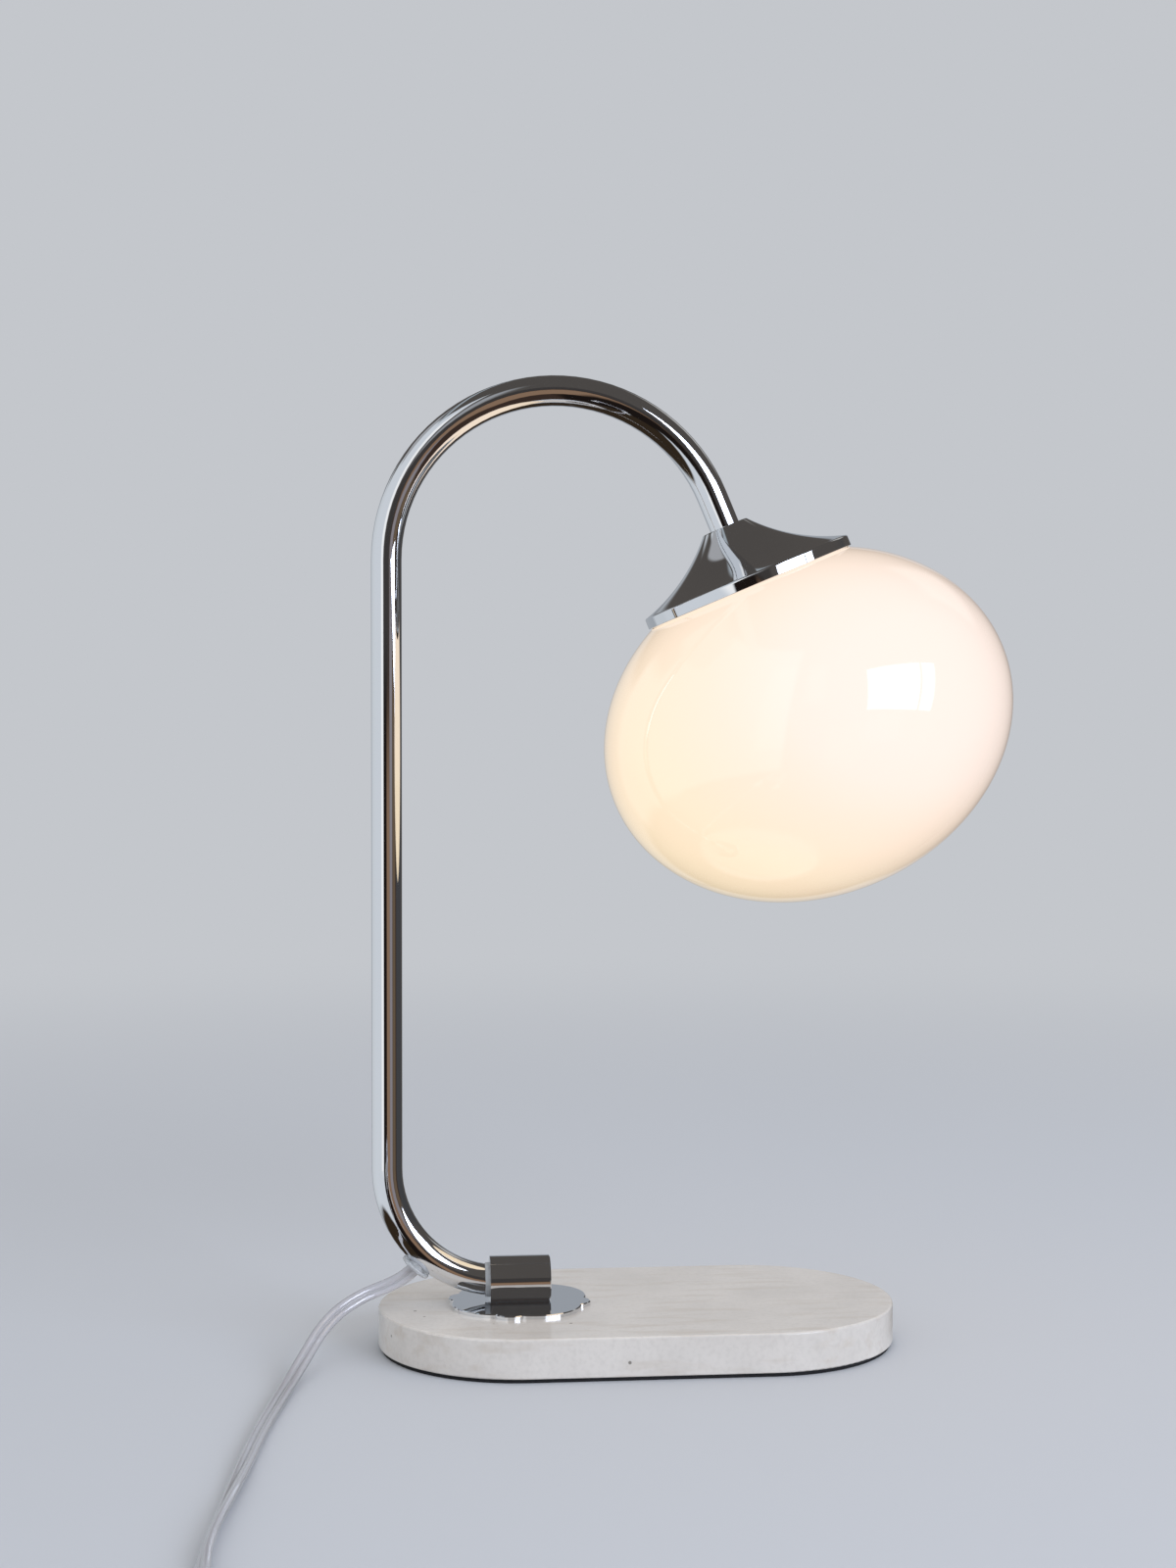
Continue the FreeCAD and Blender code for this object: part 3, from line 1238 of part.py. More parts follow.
def coil_gap(edges, radius, pitch):
    """The least distance between two turns' surfaces, measured on points along the edges."""
    step = radius / 2
    samples = []
    travelled = 0.0
    for edge in edges:
        count = max(2, round(edge.Length / step))
        for index in range(count):
            share = index / count
            value = edge.getParameterByLength(edge.Length * share)
            samples.append((travelled + edge.Length * share, edge.valueAt(value)))
        travelled += edge.Length
    least = math.inf
    for index, (place_a, point_a) in enumerate(samples):
        for place_b, point_b in samples[index + 1:]:
            if place_b - place_a > pitch * 4:
                least = min(least, (point_b - point_a).Length)
    return least - 2 * radius


def cord_coil():
    """The stored length: a spiral in, a climb of one layer and a spiral out, in one tube."""
    points, directions = coil_points()
    radius = number("Sizes.cord_radius")
    lead_in = points[0] - directions[0] * (2 * radius)
    lead_out = points[-1] + directions[-1] * (2 * radius)
    edges = [Part.LineSegment(lead_in, points[0]).toShape()]
    for index in range(len(points) - 1):
        edges += biarc(points[index], directions[index], points[index + 1], directions[index + 1])
    edges.append(Part.LineSegment(points[-1], lead_out).toShape())
    piece, wire = swept("cord_coil", edges, radius)
    gap = coil_gap(edges, radius, number("Sizes.coil_pitch"))
    print(f"cord_coil: length {wire.Length:.1f}, least gap to itself {gap:.2f}")
    node("cord_coil", piece)
    return lead_in, lead_out, wire.Length


def cords():
    """The cord from the arm to the plug, through the switch and the coil."""
    radius = number("Sizes.cord_radius")
    split = number("Sizes.switch_split")
    inside = number("Sizes.switch_length / 2 - Sizes.switch_entry")
    x, y = number("Sizes.switch_x"), number("Sizes.switch_y")
    coil_in, coil_out, coiled = cord_coil()
    stretches = {
        "cord_to_switch": [lead_end(), *CORD_TO_SWITCH, (x, y + inside, split)],
        "cord_to_coil": [(x, y - inside, split), *CORD_TO_COIL, coil_in],
        "cord_to_plug": [coil_out, *CORD_TO_PLUG, plug_entry()],
    }
    lengths = [cord_node(name, [Vector(point) for point in points], radius)[1]
               for name, points in stretches.items()]
    whole = sum(lengths) + coiled + 2 * inside
    print(f"cord: {whole:.0f} from the arm to the plug, with the switch")


def plug_entry():
    """The middle of the strain relief's end face."""
    return Vector(number(f"{coil_middle_x()} + {coil_outer()}"),
                  number("Sizes.plug_y - Sizes.plug_length - Sizes.relief_length"),
                  number("Sizes.plug_thickness / 2"))


def build():
    """Every sub-part, from the pad up and then along the cord."""
    fill_sheet()
    for make in (base_slab, base_pad, backing_plate, foot_screws, rosette_plate, arm_socket,
                 socket_ring, arm_tube, arm_insert, cord_grommet, arm_end, shade_cap,
                 shade_gallery, glass_globe, lampholder, bulb, switch_lower, switch_upper,
                 switch_rocker, switch_fittings, plug, inner_lead, cords):
        make()
    doc.recompute()


def check():
    """Stops on an object that failed, or a sub-part whose shape is null or not valid."""
    for item in doc.Objects:
        if {"Invalid", "Error"} & set(item.State):
            raise ValueError(f"{item.Name} ({item.Label}): {item.State}")
    for name, piece in nodes.items():
        if piece.Shape.isNull() or not piece.Shape.isValid() or not piece.Shape.Solids:
            raise ValueError(f"{name} has no valid solid")


def export():
    """Writes each sub-part to its own file."""
    os.makedirs("parts", exist_ok=True)
    for name, piece in nodes.items():
        piece.Shape.exportStep(os.path.join("parts", f"{name}.step"))
    print(len(nodes), "sub-parts")


build()
check()
export()
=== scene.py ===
"""Looks of the table lamp: a bent chrome arm on a marble slab, an opal globe and a clear cord.

Metres, +Z up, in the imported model's own frame: the origin is the middle of the base's underside,
+X runs along the slab from the arm towards the globe, and -Y faces the front.
"""
from __future__ import annotations

import json
import logging
import math
from dataclasses import dataclass, field
from enum import Enum
from typing import Any, Sequence

import bpy
import numpy as np
from mathutils import Matrix

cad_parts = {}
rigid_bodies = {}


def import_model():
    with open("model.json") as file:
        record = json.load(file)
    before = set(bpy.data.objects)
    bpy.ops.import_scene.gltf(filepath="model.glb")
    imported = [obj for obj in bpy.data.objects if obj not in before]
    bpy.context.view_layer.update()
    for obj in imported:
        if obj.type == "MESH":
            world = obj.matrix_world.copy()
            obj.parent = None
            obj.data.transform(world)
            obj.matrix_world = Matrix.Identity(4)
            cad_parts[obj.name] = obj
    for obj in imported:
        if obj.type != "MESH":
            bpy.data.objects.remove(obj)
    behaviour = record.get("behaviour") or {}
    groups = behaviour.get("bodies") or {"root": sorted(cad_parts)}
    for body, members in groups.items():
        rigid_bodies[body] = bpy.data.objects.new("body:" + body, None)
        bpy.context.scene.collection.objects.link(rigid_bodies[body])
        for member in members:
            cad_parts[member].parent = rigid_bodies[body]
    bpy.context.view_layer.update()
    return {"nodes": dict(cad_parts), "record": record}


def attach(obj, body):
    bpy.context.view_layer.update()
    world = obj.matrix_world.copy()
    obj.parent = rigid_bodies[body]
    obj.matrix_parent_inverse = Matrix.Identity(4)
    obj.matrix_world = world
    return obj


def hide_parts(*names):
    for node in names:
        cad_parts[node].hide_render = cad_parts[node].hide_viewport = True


for _thing in list(bpy.data.objects):
    bpy.data.objects.remove(_thing)
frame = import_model()

log = logging.getLogger("table_lamp")

# Short names of the types that the functions pass about
Array = np.ndarray
Tree = bpy.types.NodeTree
Node = bpy.types.Node
Socket = bpy.types.NodeSocket
Piece = bpy.types.Object
Point = tuple[float, float, float]
Pair = tuple[float, float]

MM = 0.001
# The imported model's bodies
LAMP = "lamp"
ROCKER = "rocker"
# Nothing is divided by less than this
TINY = 1e-9
# Points nearer to each other than this, in metres, are one point
SAME_POINT = 1e-6
# A noise does most of its going up and down between these values, and a spot of it is about this
# many of its units across
NOISE_RANGE = (0.3, 0.7)
NOISE_SPOT = 0.5


class Slot(Enum):
    """The record's material slots that the pieces take their finishes from."""

    MARBLE = "marble"
    PAD = "pad_rubber"
    CHROME = "chrome"
    ZINC = "zinc_steel"
    BRASS = "brass"
    NICKEL = "brass_nickel"
    ALUMINIUM = "aluminium_cap"
    OPAL = "opal_glass"
    BULB = "lit_bulb"
    CERAMIC = "ceramic_white"
    PLASTIC = "white_plastic"
    GLOSS = "white_gloss"
    CLEAR = "clear_plastic"
    PVC = "clear_pvc"


# Numbers and outlines


def linear(code: str) -> tuple[float, float, float, float]:
    """The linear colour of an sRGB hex value such as "c4c7cc".

    Args:
        code: six hex digits.
    Returns:
        Red, green, blue and an alpha of one.
    """
    value = np.array([int(code[i : i + 2], 16) for i in (0, 2, 4)]) / 255
    low, high = value / 12.92, ((value + 0.055) / 1.055) ** 2.4
    return (*np.where(value <= 0.04045, low, high).tolist(), 1.0)


def unit(vectors: Array) -> Array:
    """Each vector over its own length."""
    return vectors / np.maximum(np.linalg.norm(vectors, axis=-1, keepdims=True), TINY)


def smooth_step(value: Array, start: float, end: float) -> Array:
    """Nought before start, one after end, and 3t^2 - 2t^3 between them."""
    t = np.clip((value - start) / (end - start), 0, 1)
    return t * t * (3 - 2 * t)


def cos_sin(degrees: float) -> Pair:
    """The cosine and the sine of an angle in degrees."""
    return math.cos(math.radians(degrees)), math.sin(math.radians(degrees))


def full_turn(count: int) -> Array:
    """Angles spaced evenly round a full turn, without its end."""
    return np.linspace(0, 2 * np.pi, count, endpoint=False)


def arc(centre: Sequence[float], radius: float, start: float, end: float, count: int) -> Array:
    """Points on an arc: the centre plus the radius turned evenly from start to end, in degrees."""
    angle = np.radians(np.linspace(start, end, count))
    return np.asarray(centre) + radius * np.column_stack([np.cos(angle), np.sin(angle)])


def rounded(corners: Array, radii: Sequence[float], steps: int = 7) -> Array:
    """A closed outline whose corners give way to arcs.

    With h half the angle between a corner's two sides, its arc starts radius / tan(h) from the
    corner and has its centre radius / sin(h) along the bisector. The arm from the centre turns
    evenly from one side to the other: (sin((1-t)w) a + sin(tw) b) / sin(w), where w = pi - 2h.

    Args:
        corners: the outline's corners, one a row.
        radii: the radius at each corner, nought for a sharp one.
        steps: points in each arc.
    Returns:
        The rounded outline, without repeated points.
    """
    corners = np.asarray(corners, float)
    radius = np.asarray(radii, float)[:, None]
    back = unit(np.roll(corners, 1, 0) - corners)
    ahead = unit(np.roll(corners, -1, 0) - corners)
    half = np.arccos(np.clip((back * ahead).sum(1, keepdims=True), -1, 1)) / 2
    centre = corners + unit(back + ahead) * radius / np.maximum(np.sin(half), TINY)
    reach = radius / np.maximum(np.tan(half), TINY)
    first, last = corners + back * reach - centre, corners + ahead * reach - centre
    turn = np.maximum(np.pi - 2 * half, TINY)[:, None]
    t = np.linspace(0, 1, steps)[None, :, None]
    arms = np.sin((1 - t) * turn) * first[:, None] + np.sin(t * turn) * last[:, None]
    points = (centre[:, None] + arms / np.sin(turn)).reshape(-1, corners.shape[1])
    return points[np.linalg.norm(points - np.roll(points, 1, 0), axis=1) > SAME_POINT]


@dataclass(frozen=True)
class Axes:
    """A place and three unit directions in the row frame."""

    origin: Point
    x: Point
    y: Point
    z: Point

    def out(self, points: Array) -> Array:
        """Points of these axes in the row frame: origin + x X + y Y + z Z."""
        return np.asarray(self.origin) + points @ np.array([self.x, self.y, self.z])


def lathe(profile: Array, axes: Axes, count: int) -> Array:
    """A profile of radius and height turned round z: (r cos a, r sin a, h) at each angle a.

    Args:
        profile: rows of radius and height.
        axes: where the turned piece stands.
        count: points round the axis.
    Returns:
        A grid of profile points by angles.
    """
    angle = full_turn(count)
    radius, height = profile[:, :1], profile[:, 1:]
    grid = np.stack([radius * np.cos(angle), radius * np.sin(angle), height + 0 * angle], -1)
    return axes.out(grid)


def sweep(line: Array, section: Array, angle: Array) -> Array:
    """A section carried along a line that is nowhere upright.

    At each point the side is the level direction square to the line, and the section's first
    axis is that side turned by the angle towards the top: P + x (S cos a + T sin a)
    + y (T cos a - S sin a).

    Args:
        line: points of the line.
        section: outline points, one set for the line or one for each of its points.
        angle: turn of the section in radians at each point.
    Returns:
        A grid of line points by section points.
    """
    along = unit(np.gradient(line, axis=0))
    side = unit(np.cross([0.0, 0.0, 1.0], along))
    top = np.cross(along, side)
    turn = angle[:, None]
    first = side * np.cos(turn) + top * np.sin(turn)
    second = top * np.cos(turn) - side * np.sin(turn)
    section = np.broadcast_to(section, (len(line), *section.shape[-2:]))
    return line[:, None] + section[..., :1] * first[:, None] + section[..., 1:] * second[:, None]


def spline(route: Array, resolution: int = 12) -> Array:
    """The points that Blender gives for a route's NURBS spline, as a curve without bevel.

    Args:
        route: the spline's points, one a row.
        resolution: steps from one of them to the next.
    Returns:
        Points along the spline, without repeated ones.
    """
    curve = bpy.data.curves.new("cord_route", "CURVE")
    curve.dimensions = "3D"
    curve.resolution_u = resolution
    nurbs = curve.splines.new("NURBS")
    nurbs.points.add(len(route) - 1)
    nurbs.points.foreach_set("co", np.column_stack([route, np.ones(len(route))]).ravel())
    nurbs.order_u = 3
    nurbs.use_endpoint_u = True
    holder = bpy.data.objects.new("cord_route", curve)
    bpy.context.scene.collection.objects.link(holder)
    bpy.context.view_layer.update()
    mesh = bpy.data.meshes.new_from_object(holder)
    points = np.empty(len(mesh.vertices) * 3)
    mesh.vertices.foreach_get("co", points)
    bpy.data.meshes.remove(mesh)
    bpy.data.objects.remove(holder)
    bpy.data.curves.remove(curve)
    points = points.reshape(-1, 3)
    return points[np.r_[True, np.linalg.norm(np.diff(points, axis=0), axis=1) > SAME_POINT]]


def even_steps(line: Array, step: float) -> tuple[Array, Array]:
    """A line's points at even steps of its length.

    Args:
        line: points along the line.
        step: about how far apart the new ones are.
    Returns:
        The new points, and how far along the line each of them lies.
    """
    along = np.r_[0, np.linalg.norm(np.diff(line, axis=0), axis=1).cumsum()]
    places = np.linspace(0, along[-1], max(int(along[-1] / step), 2) + 1)
    return np.column_stack([np.interp(places, along, line[:, i]) for i in range(3)]), places


# Pieces


def shell(grid: Array, loop: bool = False) -> tuple[Array, Array, Array]:
    """A closed skin over a grid whose columns go round.

    Neighbouring rows are joined by four-sided faces. The rows close on themselves when loop is
    true, and otherwise a fan to its mean point closes the first row and the last. Faces point
    outwards: all are turned round when the volume that they enclose comes out negative.

    Args:
        grid: rows by columns of points.
        loop: whether the last row joins the first.
    Returns:
        The points, and the corners of the four-sided faces and of the triangles.
    """
    rows, columns = grid.shape[:2]
    points = grid.reshape(-1, 3)
    index = np.arange(rows * columns).reshape(rows, columns)
    if loop:
        index = np.vstack([index, index[:1]])
    low, high = index[:-1], index[1:]
    quads = np.stack([low, np.roll(low, -1, 1), np.roll(high, -1, 1), high], -1).reshape(-1, 4)
    triangles = np.empty((0, 3), int)
    if not loop:
        first, last = len(points), len(points) + 1
        points = np.vstack([points, grid[0].mean(0), grid[-1].mean(0)])
        foot, head = index[0], index[-1]
        fan = [np.stack([np.full(columns, first), np.roll(foot, -1), foot], -1),
               np.stack([np.full(columns, last), head, np.roll(head, -1)], -1)]
        triangles = np.vstack(fan)
    halves = np.vstack([quads[:, :3], quads[:, [0, 2, 3]], triangles])
    a, b, c = (points[halves[:, i]] for i in range(3))
    if np.einsum("ij,ij->i", a, np.cross(b, c)).sum() < 0:
        quads, triangles = quads[:, ::-1], triangles[:, ::-1]
    return points, quads, triangles


def add_piece(name: str, *shells: tuple[Array, Array, Array]) -> Piece:
    """One smoothly shaded piece of one or several shells.

    Args:
        name: the piece's name.
        shells: the shells, each as shell gives it.
    Returns:
        The piece, at the origin, with its place in its mesh.
    """
    points, faces = [], []
    for places, quads, triangles in shells:
        start = len(points)
        points += places.tolist()
        faces += (quads + start).tolist() + (triangles + start).tolist()
    mesh = bpy.data.meshes.new(name)
    mesh.from_pydata(points, [], faces)
    mesh.polygons.foreach_set("use_smooth", np.ones(len(mesh.polygons), bool))
    mesh.update()
    piece = bpy.data.objects.new(name, mesh)
    bpy.context.scene.collection.objects.link(piece)
    return piece


def finished(piece: Piece, slot: Slot, stands_for: Sequence[str] = (), body: str = LAMP,
             sharp: float | None = None, finish: Finish | None = None) -> Piece:
    """Dresses a piece, puts it on its body and hides the CAD nodes that it stands for.

    Args:
        piece: the piece.
        slot: the record's slot whose finish it takes when no finish is given.
        stands_for: CAD nodes that it replaces.
        body: the CAD body that it moves with.
        sharp: the angle in degrees above which an edge stays sharp, or None.
        finish: its finish, or None for the slot's own.
    Returns:
        The piece.
    """
    piece.data.materials.append((finish or FINISHES[slot]).material())
    if sharp is not None:
        piece.data.set_sharp_from_angle(angle=math.radians(sharp))
    weigh = piece.modifiers.new("FaceWeights", "WEIGHTED_NORMAL")
    weigh.keep_sharp = True
    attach(piece, body)
    if stands_for:
        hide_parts(*stands_for)
    log.info("%s: %d faces", piece.name, len(piece.data.polygons))
    return piece


# Finishes


def empty_tree(owner: bpy.types.Material | bpy.types.World) -> Tree:
    """The owner's node tree, switched on and emptied.

    Args:
        owner: the material or the world.
    Returns:
        Its node tree.
    """
    owner.use_nodes = True
    owner.node_tree.nodes.clear()
    return owner.node_tree


def add_node(tree: Tree, kind: str, inputs: dict[str | int, Any] | None = None,
             **settings: Any) -> Node:
    """Adds a node, sets it, and sets or links its sockets.

    Args:
        tree: the node tree.
        kind: the node's type name.
        inputs: what each named or numbered socket takes: a value, another node's socket, or
            another node, whose first output in use is linked.
        settings: the node's own properties.
    Returns:
        The node.
    """
    node = tree.nodes.new(kind)
    for name, value in settings.items():
        setattr(node, name, value)
    for name, value in (inputs or {}).items():
        if isinstance(value, Node):
            value = next(output for output in value.outputs if output.enabled)
        if isinstance(value, Socket):
            tree.links.new(value, node.inputs[name])
        else:
            node.inputs[name].default_value = value
    return node


def blend(tree: Tree, share: Node, first: Any, second: str) -> Socket:
    """One colour with a share of another.

    Args:
        tree: the node tree.
        share: the node that gives the second colour's share.
        first: the first colour, as a value or a socket.
        second: the second colour, as a hex value.
    Returns:
        The blended colour.
    """
    mix = add_node(tree, "ShaderNodeMix", {0: share, 6: first, 7: linear(second)},
                   data_type="RGBA")
    return mix.outputs[2]


@dataclass(frozen=True)
class Finish:
    """A finish: its common name, colour, and how rough and metallic it is.

    A noise of the given grain, in metres, moves the roughness up and down by rough_spread, and
    raises the surface by bump, in metres.
    """

    name: str
    colour: str
    roughness: float
    metallic: float = 0.0
    grain: float = 4 * MM
    rough_spread: float = 0.04
    bump: float = 0.0
    sockets: tuple[tuple[str, Any], ...] = ()

    def material(self) -> bpy.types.Material:
        """Makes the finish's material, once.

        Returns:
            The material.
        """
        ready = bpy.data.materials.get(self.name)
        if ready:
            return ready
        material = bpy.data.materials.new(self.name)
        tree = empty_tree(material)
        shader = add_node(tree, "ShaderNodeBsdfPrincipled", {
            "Base Color": linear(self.colour), "Roughness": self.roughness,
            "Metallic": self.metallic, **dict(self.sockets)})
        add_node(tree, "ShaderNodeOutputMaterial", {"Surface": shader})
        self.detail(tree, shader, add_node(tree, "ShaderNodeTexCoord").outputs["Object"])
        return material

    def detail(self, tree: Tree, shader: Node, place: Socket) -> None:
        """Uneven gloss and a fine raised grain.

        Args:
            tree: the material's nodes.
            shader: its Principled shader.
            place: Object coordinates.
        """
        pattern = self.spots(tree, place, self.grain)
        self.uneven_gloss(tree, shader, pattern)
        if self.bump:
            self.raise_grain(tree, shader, pattern)

    @staticmethod
    def spots(tree: Tree, place: Socket, grain: float, detail: float = 3.0,
              stretch: Point = (1.0, 1.0, 1.0)) -> Node:
        """Noisy spots about one grain across, drawn out along each axis by 1 / stretch."""
        drawn = add_node(tree, "ShaderNodeMapping", {"Vector": place, "Scale": stretch})
        return add_node(tree, "ShaderNodeTexNoise", {
            "Vector": drawn, "Scale": NOISE_SPOT / grain, "Detail": detail})

    def uneven_gloss(self, tree: Tree, shader: Node, pattern: Node) -> None:
        """Roughness that follows the pattern, a little above and below its own value."""
        spread = add_node(tree, "ShaderNodeMapRange", {
            "Value": pattern, "From Min": NOISE_RANGE[0], "From Max": NOISE_RANGE[1],
            "To Min": max(self.roughness - self.rough_spread, 0.0),
            "To Max": self.roughness + self.rough_spread})
        tree.links.new(spread.outputs["Result"], shader.inputs["Roughness"])

    def raise_grain(self, tree: Tree, shader: Node, pattern: Node) -> None:
        """A surface raised by the bump's height where the pattern goes from nought to one."""
        bump = add_node(tree, "ShaderNodeBump", {"Height": pattern, "Distance": self.bump})
        tree.links.new(bump.outputs["Normal"], shader.inputs["Normal"])


@dataclass(frozen=True)
class Mottle:
    """Spots in the stone: a share of the tint, more of it from the noise's low to its high."""

    grain: float
    detail: float
    low: float
    high: float
    tint: str
    share: float
    stretch: Point = (1.0, 1.0, 1.0)


@dataclass(frozen=True)
class Marble(Finish):
    """Polished off-white marble: cloudy grey mottle, thin beige streaks and a few dark specks."""

    clouds: Mottle = Mottle(18 * MM, 5.0, 0.42, 0.72, "b9b4ae", 0.30)
    crystals: Mottle = Mottle(1.2 * MM, 2.0, 0.45, 0.75, "b9b4ae", 0.24)
    # The streaks run along the slab
    streaks: Mottle = Mottle(3.5 * MM, 6.0, 0.52, 0.72, "c9bfb3", 0.60, (0.18, 1.0, 1.0))
    speck: str = "6d675f"
    speck_share: float = 0.85
    # A speck marks the middle of each cell, and fades out between these shares of a cell
    cells_a_metre: float = 55.0
    speck_edge: Pair = (0.035, 0.06)

    def detail(self, tree: Tree, shader: Node, place: Socket) -> None:
        """Clouds, crystals and streaks over the stone's colour, and sparse specks over them.

        Args:
            tree: the material's nodes.
            shader: its Principled shader.
            place: Object coordinates.
        """
        patterns = {mottle: self.spots(tree, place, mottle.grain, mottle.detail, mottle.stretch)
                    for mottle in (self.clouds, self.crystals, self.streaks)}
        colour: Any = linear(self.colour)
        for mottle, pattern in patterns.items():
            share = add_node(tree, "ShaderNodeMapRange", {
                "Value": pattern, "From Min": mottle.low, "From Max": mottle.high,
                "To Max": mottle.share})
            colour = blend(tree, share, colour, mottle.tint)
        cells =add_node(tree, "ShaderNodeTexVoronoi", {
            "Vector": place, "Scale": self.cells_a_metre})
        share = add_node(tree, "ShaderNodeMapRange", {
            "Value": cells, "From Min": self.speck_edge[0], "From Max": self.speck_edge[1],
            "To Min": self.speck_share, "To Max": 0.0})
        colour = blend(tree, share, colour, self.speck)
        tree.links.new(colour, shader.inputs["Base Color"])
        self.uneven_gloss(tree, shader, patterns[self.crystals])


@dataclass(frozen=True)
class Opal(Finish):
    """Opal glass lit from inside: white under a clear gloss, glowing warmer low on the globe, with
    painted light and shade in its glow.
    """

    # Where the painted glow is brightest, for the bulb's light and the light falling from the
    # right together, and how much more the height counts than the length
    heart: Point = (0.13, 0.0, 0.345)
    squash: Point = (1.0, 0.0, 1.4)
    # Distances from there, in metres, at which the glow begins and ends to turn amber: painted
    # shade away from the lit heart
    reach: Pair = (0.045, 0.175)
    glow: tuple[tuple[float, str], ...] = (
        (0.0, "ffece2"), (0.20, "ffebdf"), (0.45, "ffe8d4"), (0.62, "ffe8cf"), (0.75, "ffe9cc"),
        (0.83, "ffe7c8"), (1.0, "ffe9c5"))
    strength: float = 1.04

    def detail(self, tree: Tree, shader: Node, place: Socket) -> None:
        """A glow painted from cream at its lit heart to amber shade at the edge, and faint waves.

        Args:
            tree: the material's nodes.
            shader: its Principled shader.
            place: Object coordinates.
        """
        # The emission colour is painted light and shade: brightest where the bulb's light and the
        # light from the right fall, amber where less light falls
        away = add_node(tree, "ShaderNodeVectorMath", {0: place, 1: self.heart},
                        operation="SUBTRACT")
        away = add_node(tree, "ShaderNodeVectorMath", {0: away, 1: self.squash},
                        operation="MULTIPLY")
        far = add_node(tree, "ShaderNodeVectorMath", {0: away}, operation="LENGTH")
        share = add_node(tree, "ShaderNodeMapRange", {
            "Value": far, "From Min": self.reach[0], "From Max": self.reach[1]})
        ramp = add_node(tree, "ShaderNodeValToRGB", {"Fac": share})
        stops = ramp.color_ramp.elements
        for at, colour in self.glow[1:-1]:
            stops.new(at).color = linear(colour)
        for stop, (at, colour) in ((stops[0], self.glow[0]), (stops[-1], self.glow[-1])):
            stop.position, stop.color = at, linear(colour)
        tree.links.new(ramp.outputs["Color"], shader.inputs["Emission Color"])
        shader.inputs["Emission Strength"].default_value = self.strength
        self.raise_grain(tree, shader, self.spots(tree, place, self.grain, detail=1.0))


# Typical values for each material; the comment says what it gives the eye
FINISHES: dict[Slot, Finish] = {
    # Electroplated chromium on polished steel: a cool mirror, barely softened by wiping
    Slot.CHROME: Finish("plated_chrome", "e8eaed", 0.04, 1.0, 9 * MM, 0.015),
    # Polished marble: cloudy off-white with a soft sheen
    Slot.MARBLE: Marble("polished_marble", "dcd7d1", 0.17, rough_spread=0.03,
                        sockets=(("IOR", 1.49),)),
    # Die-cut EVA foam: a flat near-black line under the stone
    Slot.PAD: Finish("black_foam_pad", "17171a", 0.85, grain=0.8 * MM, bump=0.08 * MM),
    # Bright zinc plating on screws, nuts and strip: pale grey with a soft gloss
    Slot.ZINC: Finish("zinc_plated_steel", "b9bcc0", 0.32, 1.0, 2 * MM, 0.08, 0.01 * MM),
    # Turned and pressed brass: warm yellow with a satin surface
    Slot.BRASS: Finish("turned_brass", "d6b36a", 0.30, 1.0, 1.5 * MM, 0.06, 0.01 * MM),
    # Nickel-plated brass pins: warm grey and bright
    Slot.NICKEL: Finish("nickel_plated_brass", "cfcac2", 0.18, 1.0, 3 * MM, 0.05),
    # Rolled aluminium of the bulb's cap: light grey, satin
    Slot.ALUMINIUM: Finish("rolled_aluminium", "d2d3d6", 0.35, 1.0, 1.5 * MM, 0.06, 0.01 * MM),
    # Flashed opal glass: its fire-polished skin is a coat, so the glow dims where it mirrors more
    Slot.OPAL: Opal("flashed_opal_glass", "5a5751", 0.05, grain=40 * MM, bump=0.02 * MM, sockets=(
        ("IOR", 1.52), ("Specular IOR Level", 0.0), ("Coat Weight", 1.0),
        ("Coat Roughness", 0.05), ("Coat IOR", 1.52))),
    # Frosted bulb glass, lit: an even warm white
    Slot.BULB: Finish("frosted_bulb_glass", "e8e2d6", 0.4, grain=2 * MM, sockets=(
        ("Emission Color", linear("ffe2b8")), ("Emission Strength", 2.0))),
    # Glazed steatite: cool white with a soft gloss
    Slot.CERAMIC: Finish("glazed_ceramic", "e6e4de", 0.25, grain=3 * MM, bump=0.02 * MM),
    # Injection-moulded polyamide: matt white with a spark-eroded grain of 0.4 mm
    Slot.PLASTIC: Finish("moulded_polyamide", "e4e4e2", 0.5, grain=0.4 * MM, bump=0.02 * MM),
    # Moulded ABS of the switch and plug: glossy white, very slightly rippled
    Slot.GLOSS: Finish("moulded_abs", "e9e9e6", 0.22, grain=3 * MM, rough_spread=0.05,
                       bump=0.02 * MM, sockets=(("IOR", 1.53),)),
    # Clear polycarbonate of the bush and collar: glassy, with bright edges
    Slot.CLEAR: Finish("clear_polycarbonate", "f2f5f8", 0.08, grain=2 * MM, rough_spread=0.03,
                       sockets=(("IOR", 1.58), ("Transmission Weight", 0.60))),
    # Extruded soft PVC of the cord: clear, faintly grey, with long glints
    Slot.PVC: Finish("clear_soft_pvc", "f3f3f7", 0.06, grain=8 * MM, rough_spread=0.03,
                     bump=0.05 * MM, sockets=(
                         ("IOR", 1.53), ("Transmission Weight", 0.55), ("Coat Weight", 1.0),
                         ("Coat Roughness", 0.05), ("Coat IOR", 1.6))),
}
# Tinned copper strands inside the clear cord: a silvery line with a twisted glitter
STRANDS = Finish("tinned_copper_strands", "c9c6ce", 0.34, 1.0, 1 * MM, 0.05)
# Dark grey ink of the rocker's marks
MARK_INK = Finish("grey_marking_ink", "4a4c50", 0.5, grain=1 * MM)


# The studio


@dataclass(frozen=True)
class Panel:
    """A patch of the room that mirrors show, with soft edges.

    Its azimuths count from the camera's side towards +X, its elevations from the horizon, both in
    degrees.
    """

    west: float
    east: float
    low: float
    high: float
    colour: str
    soft: float


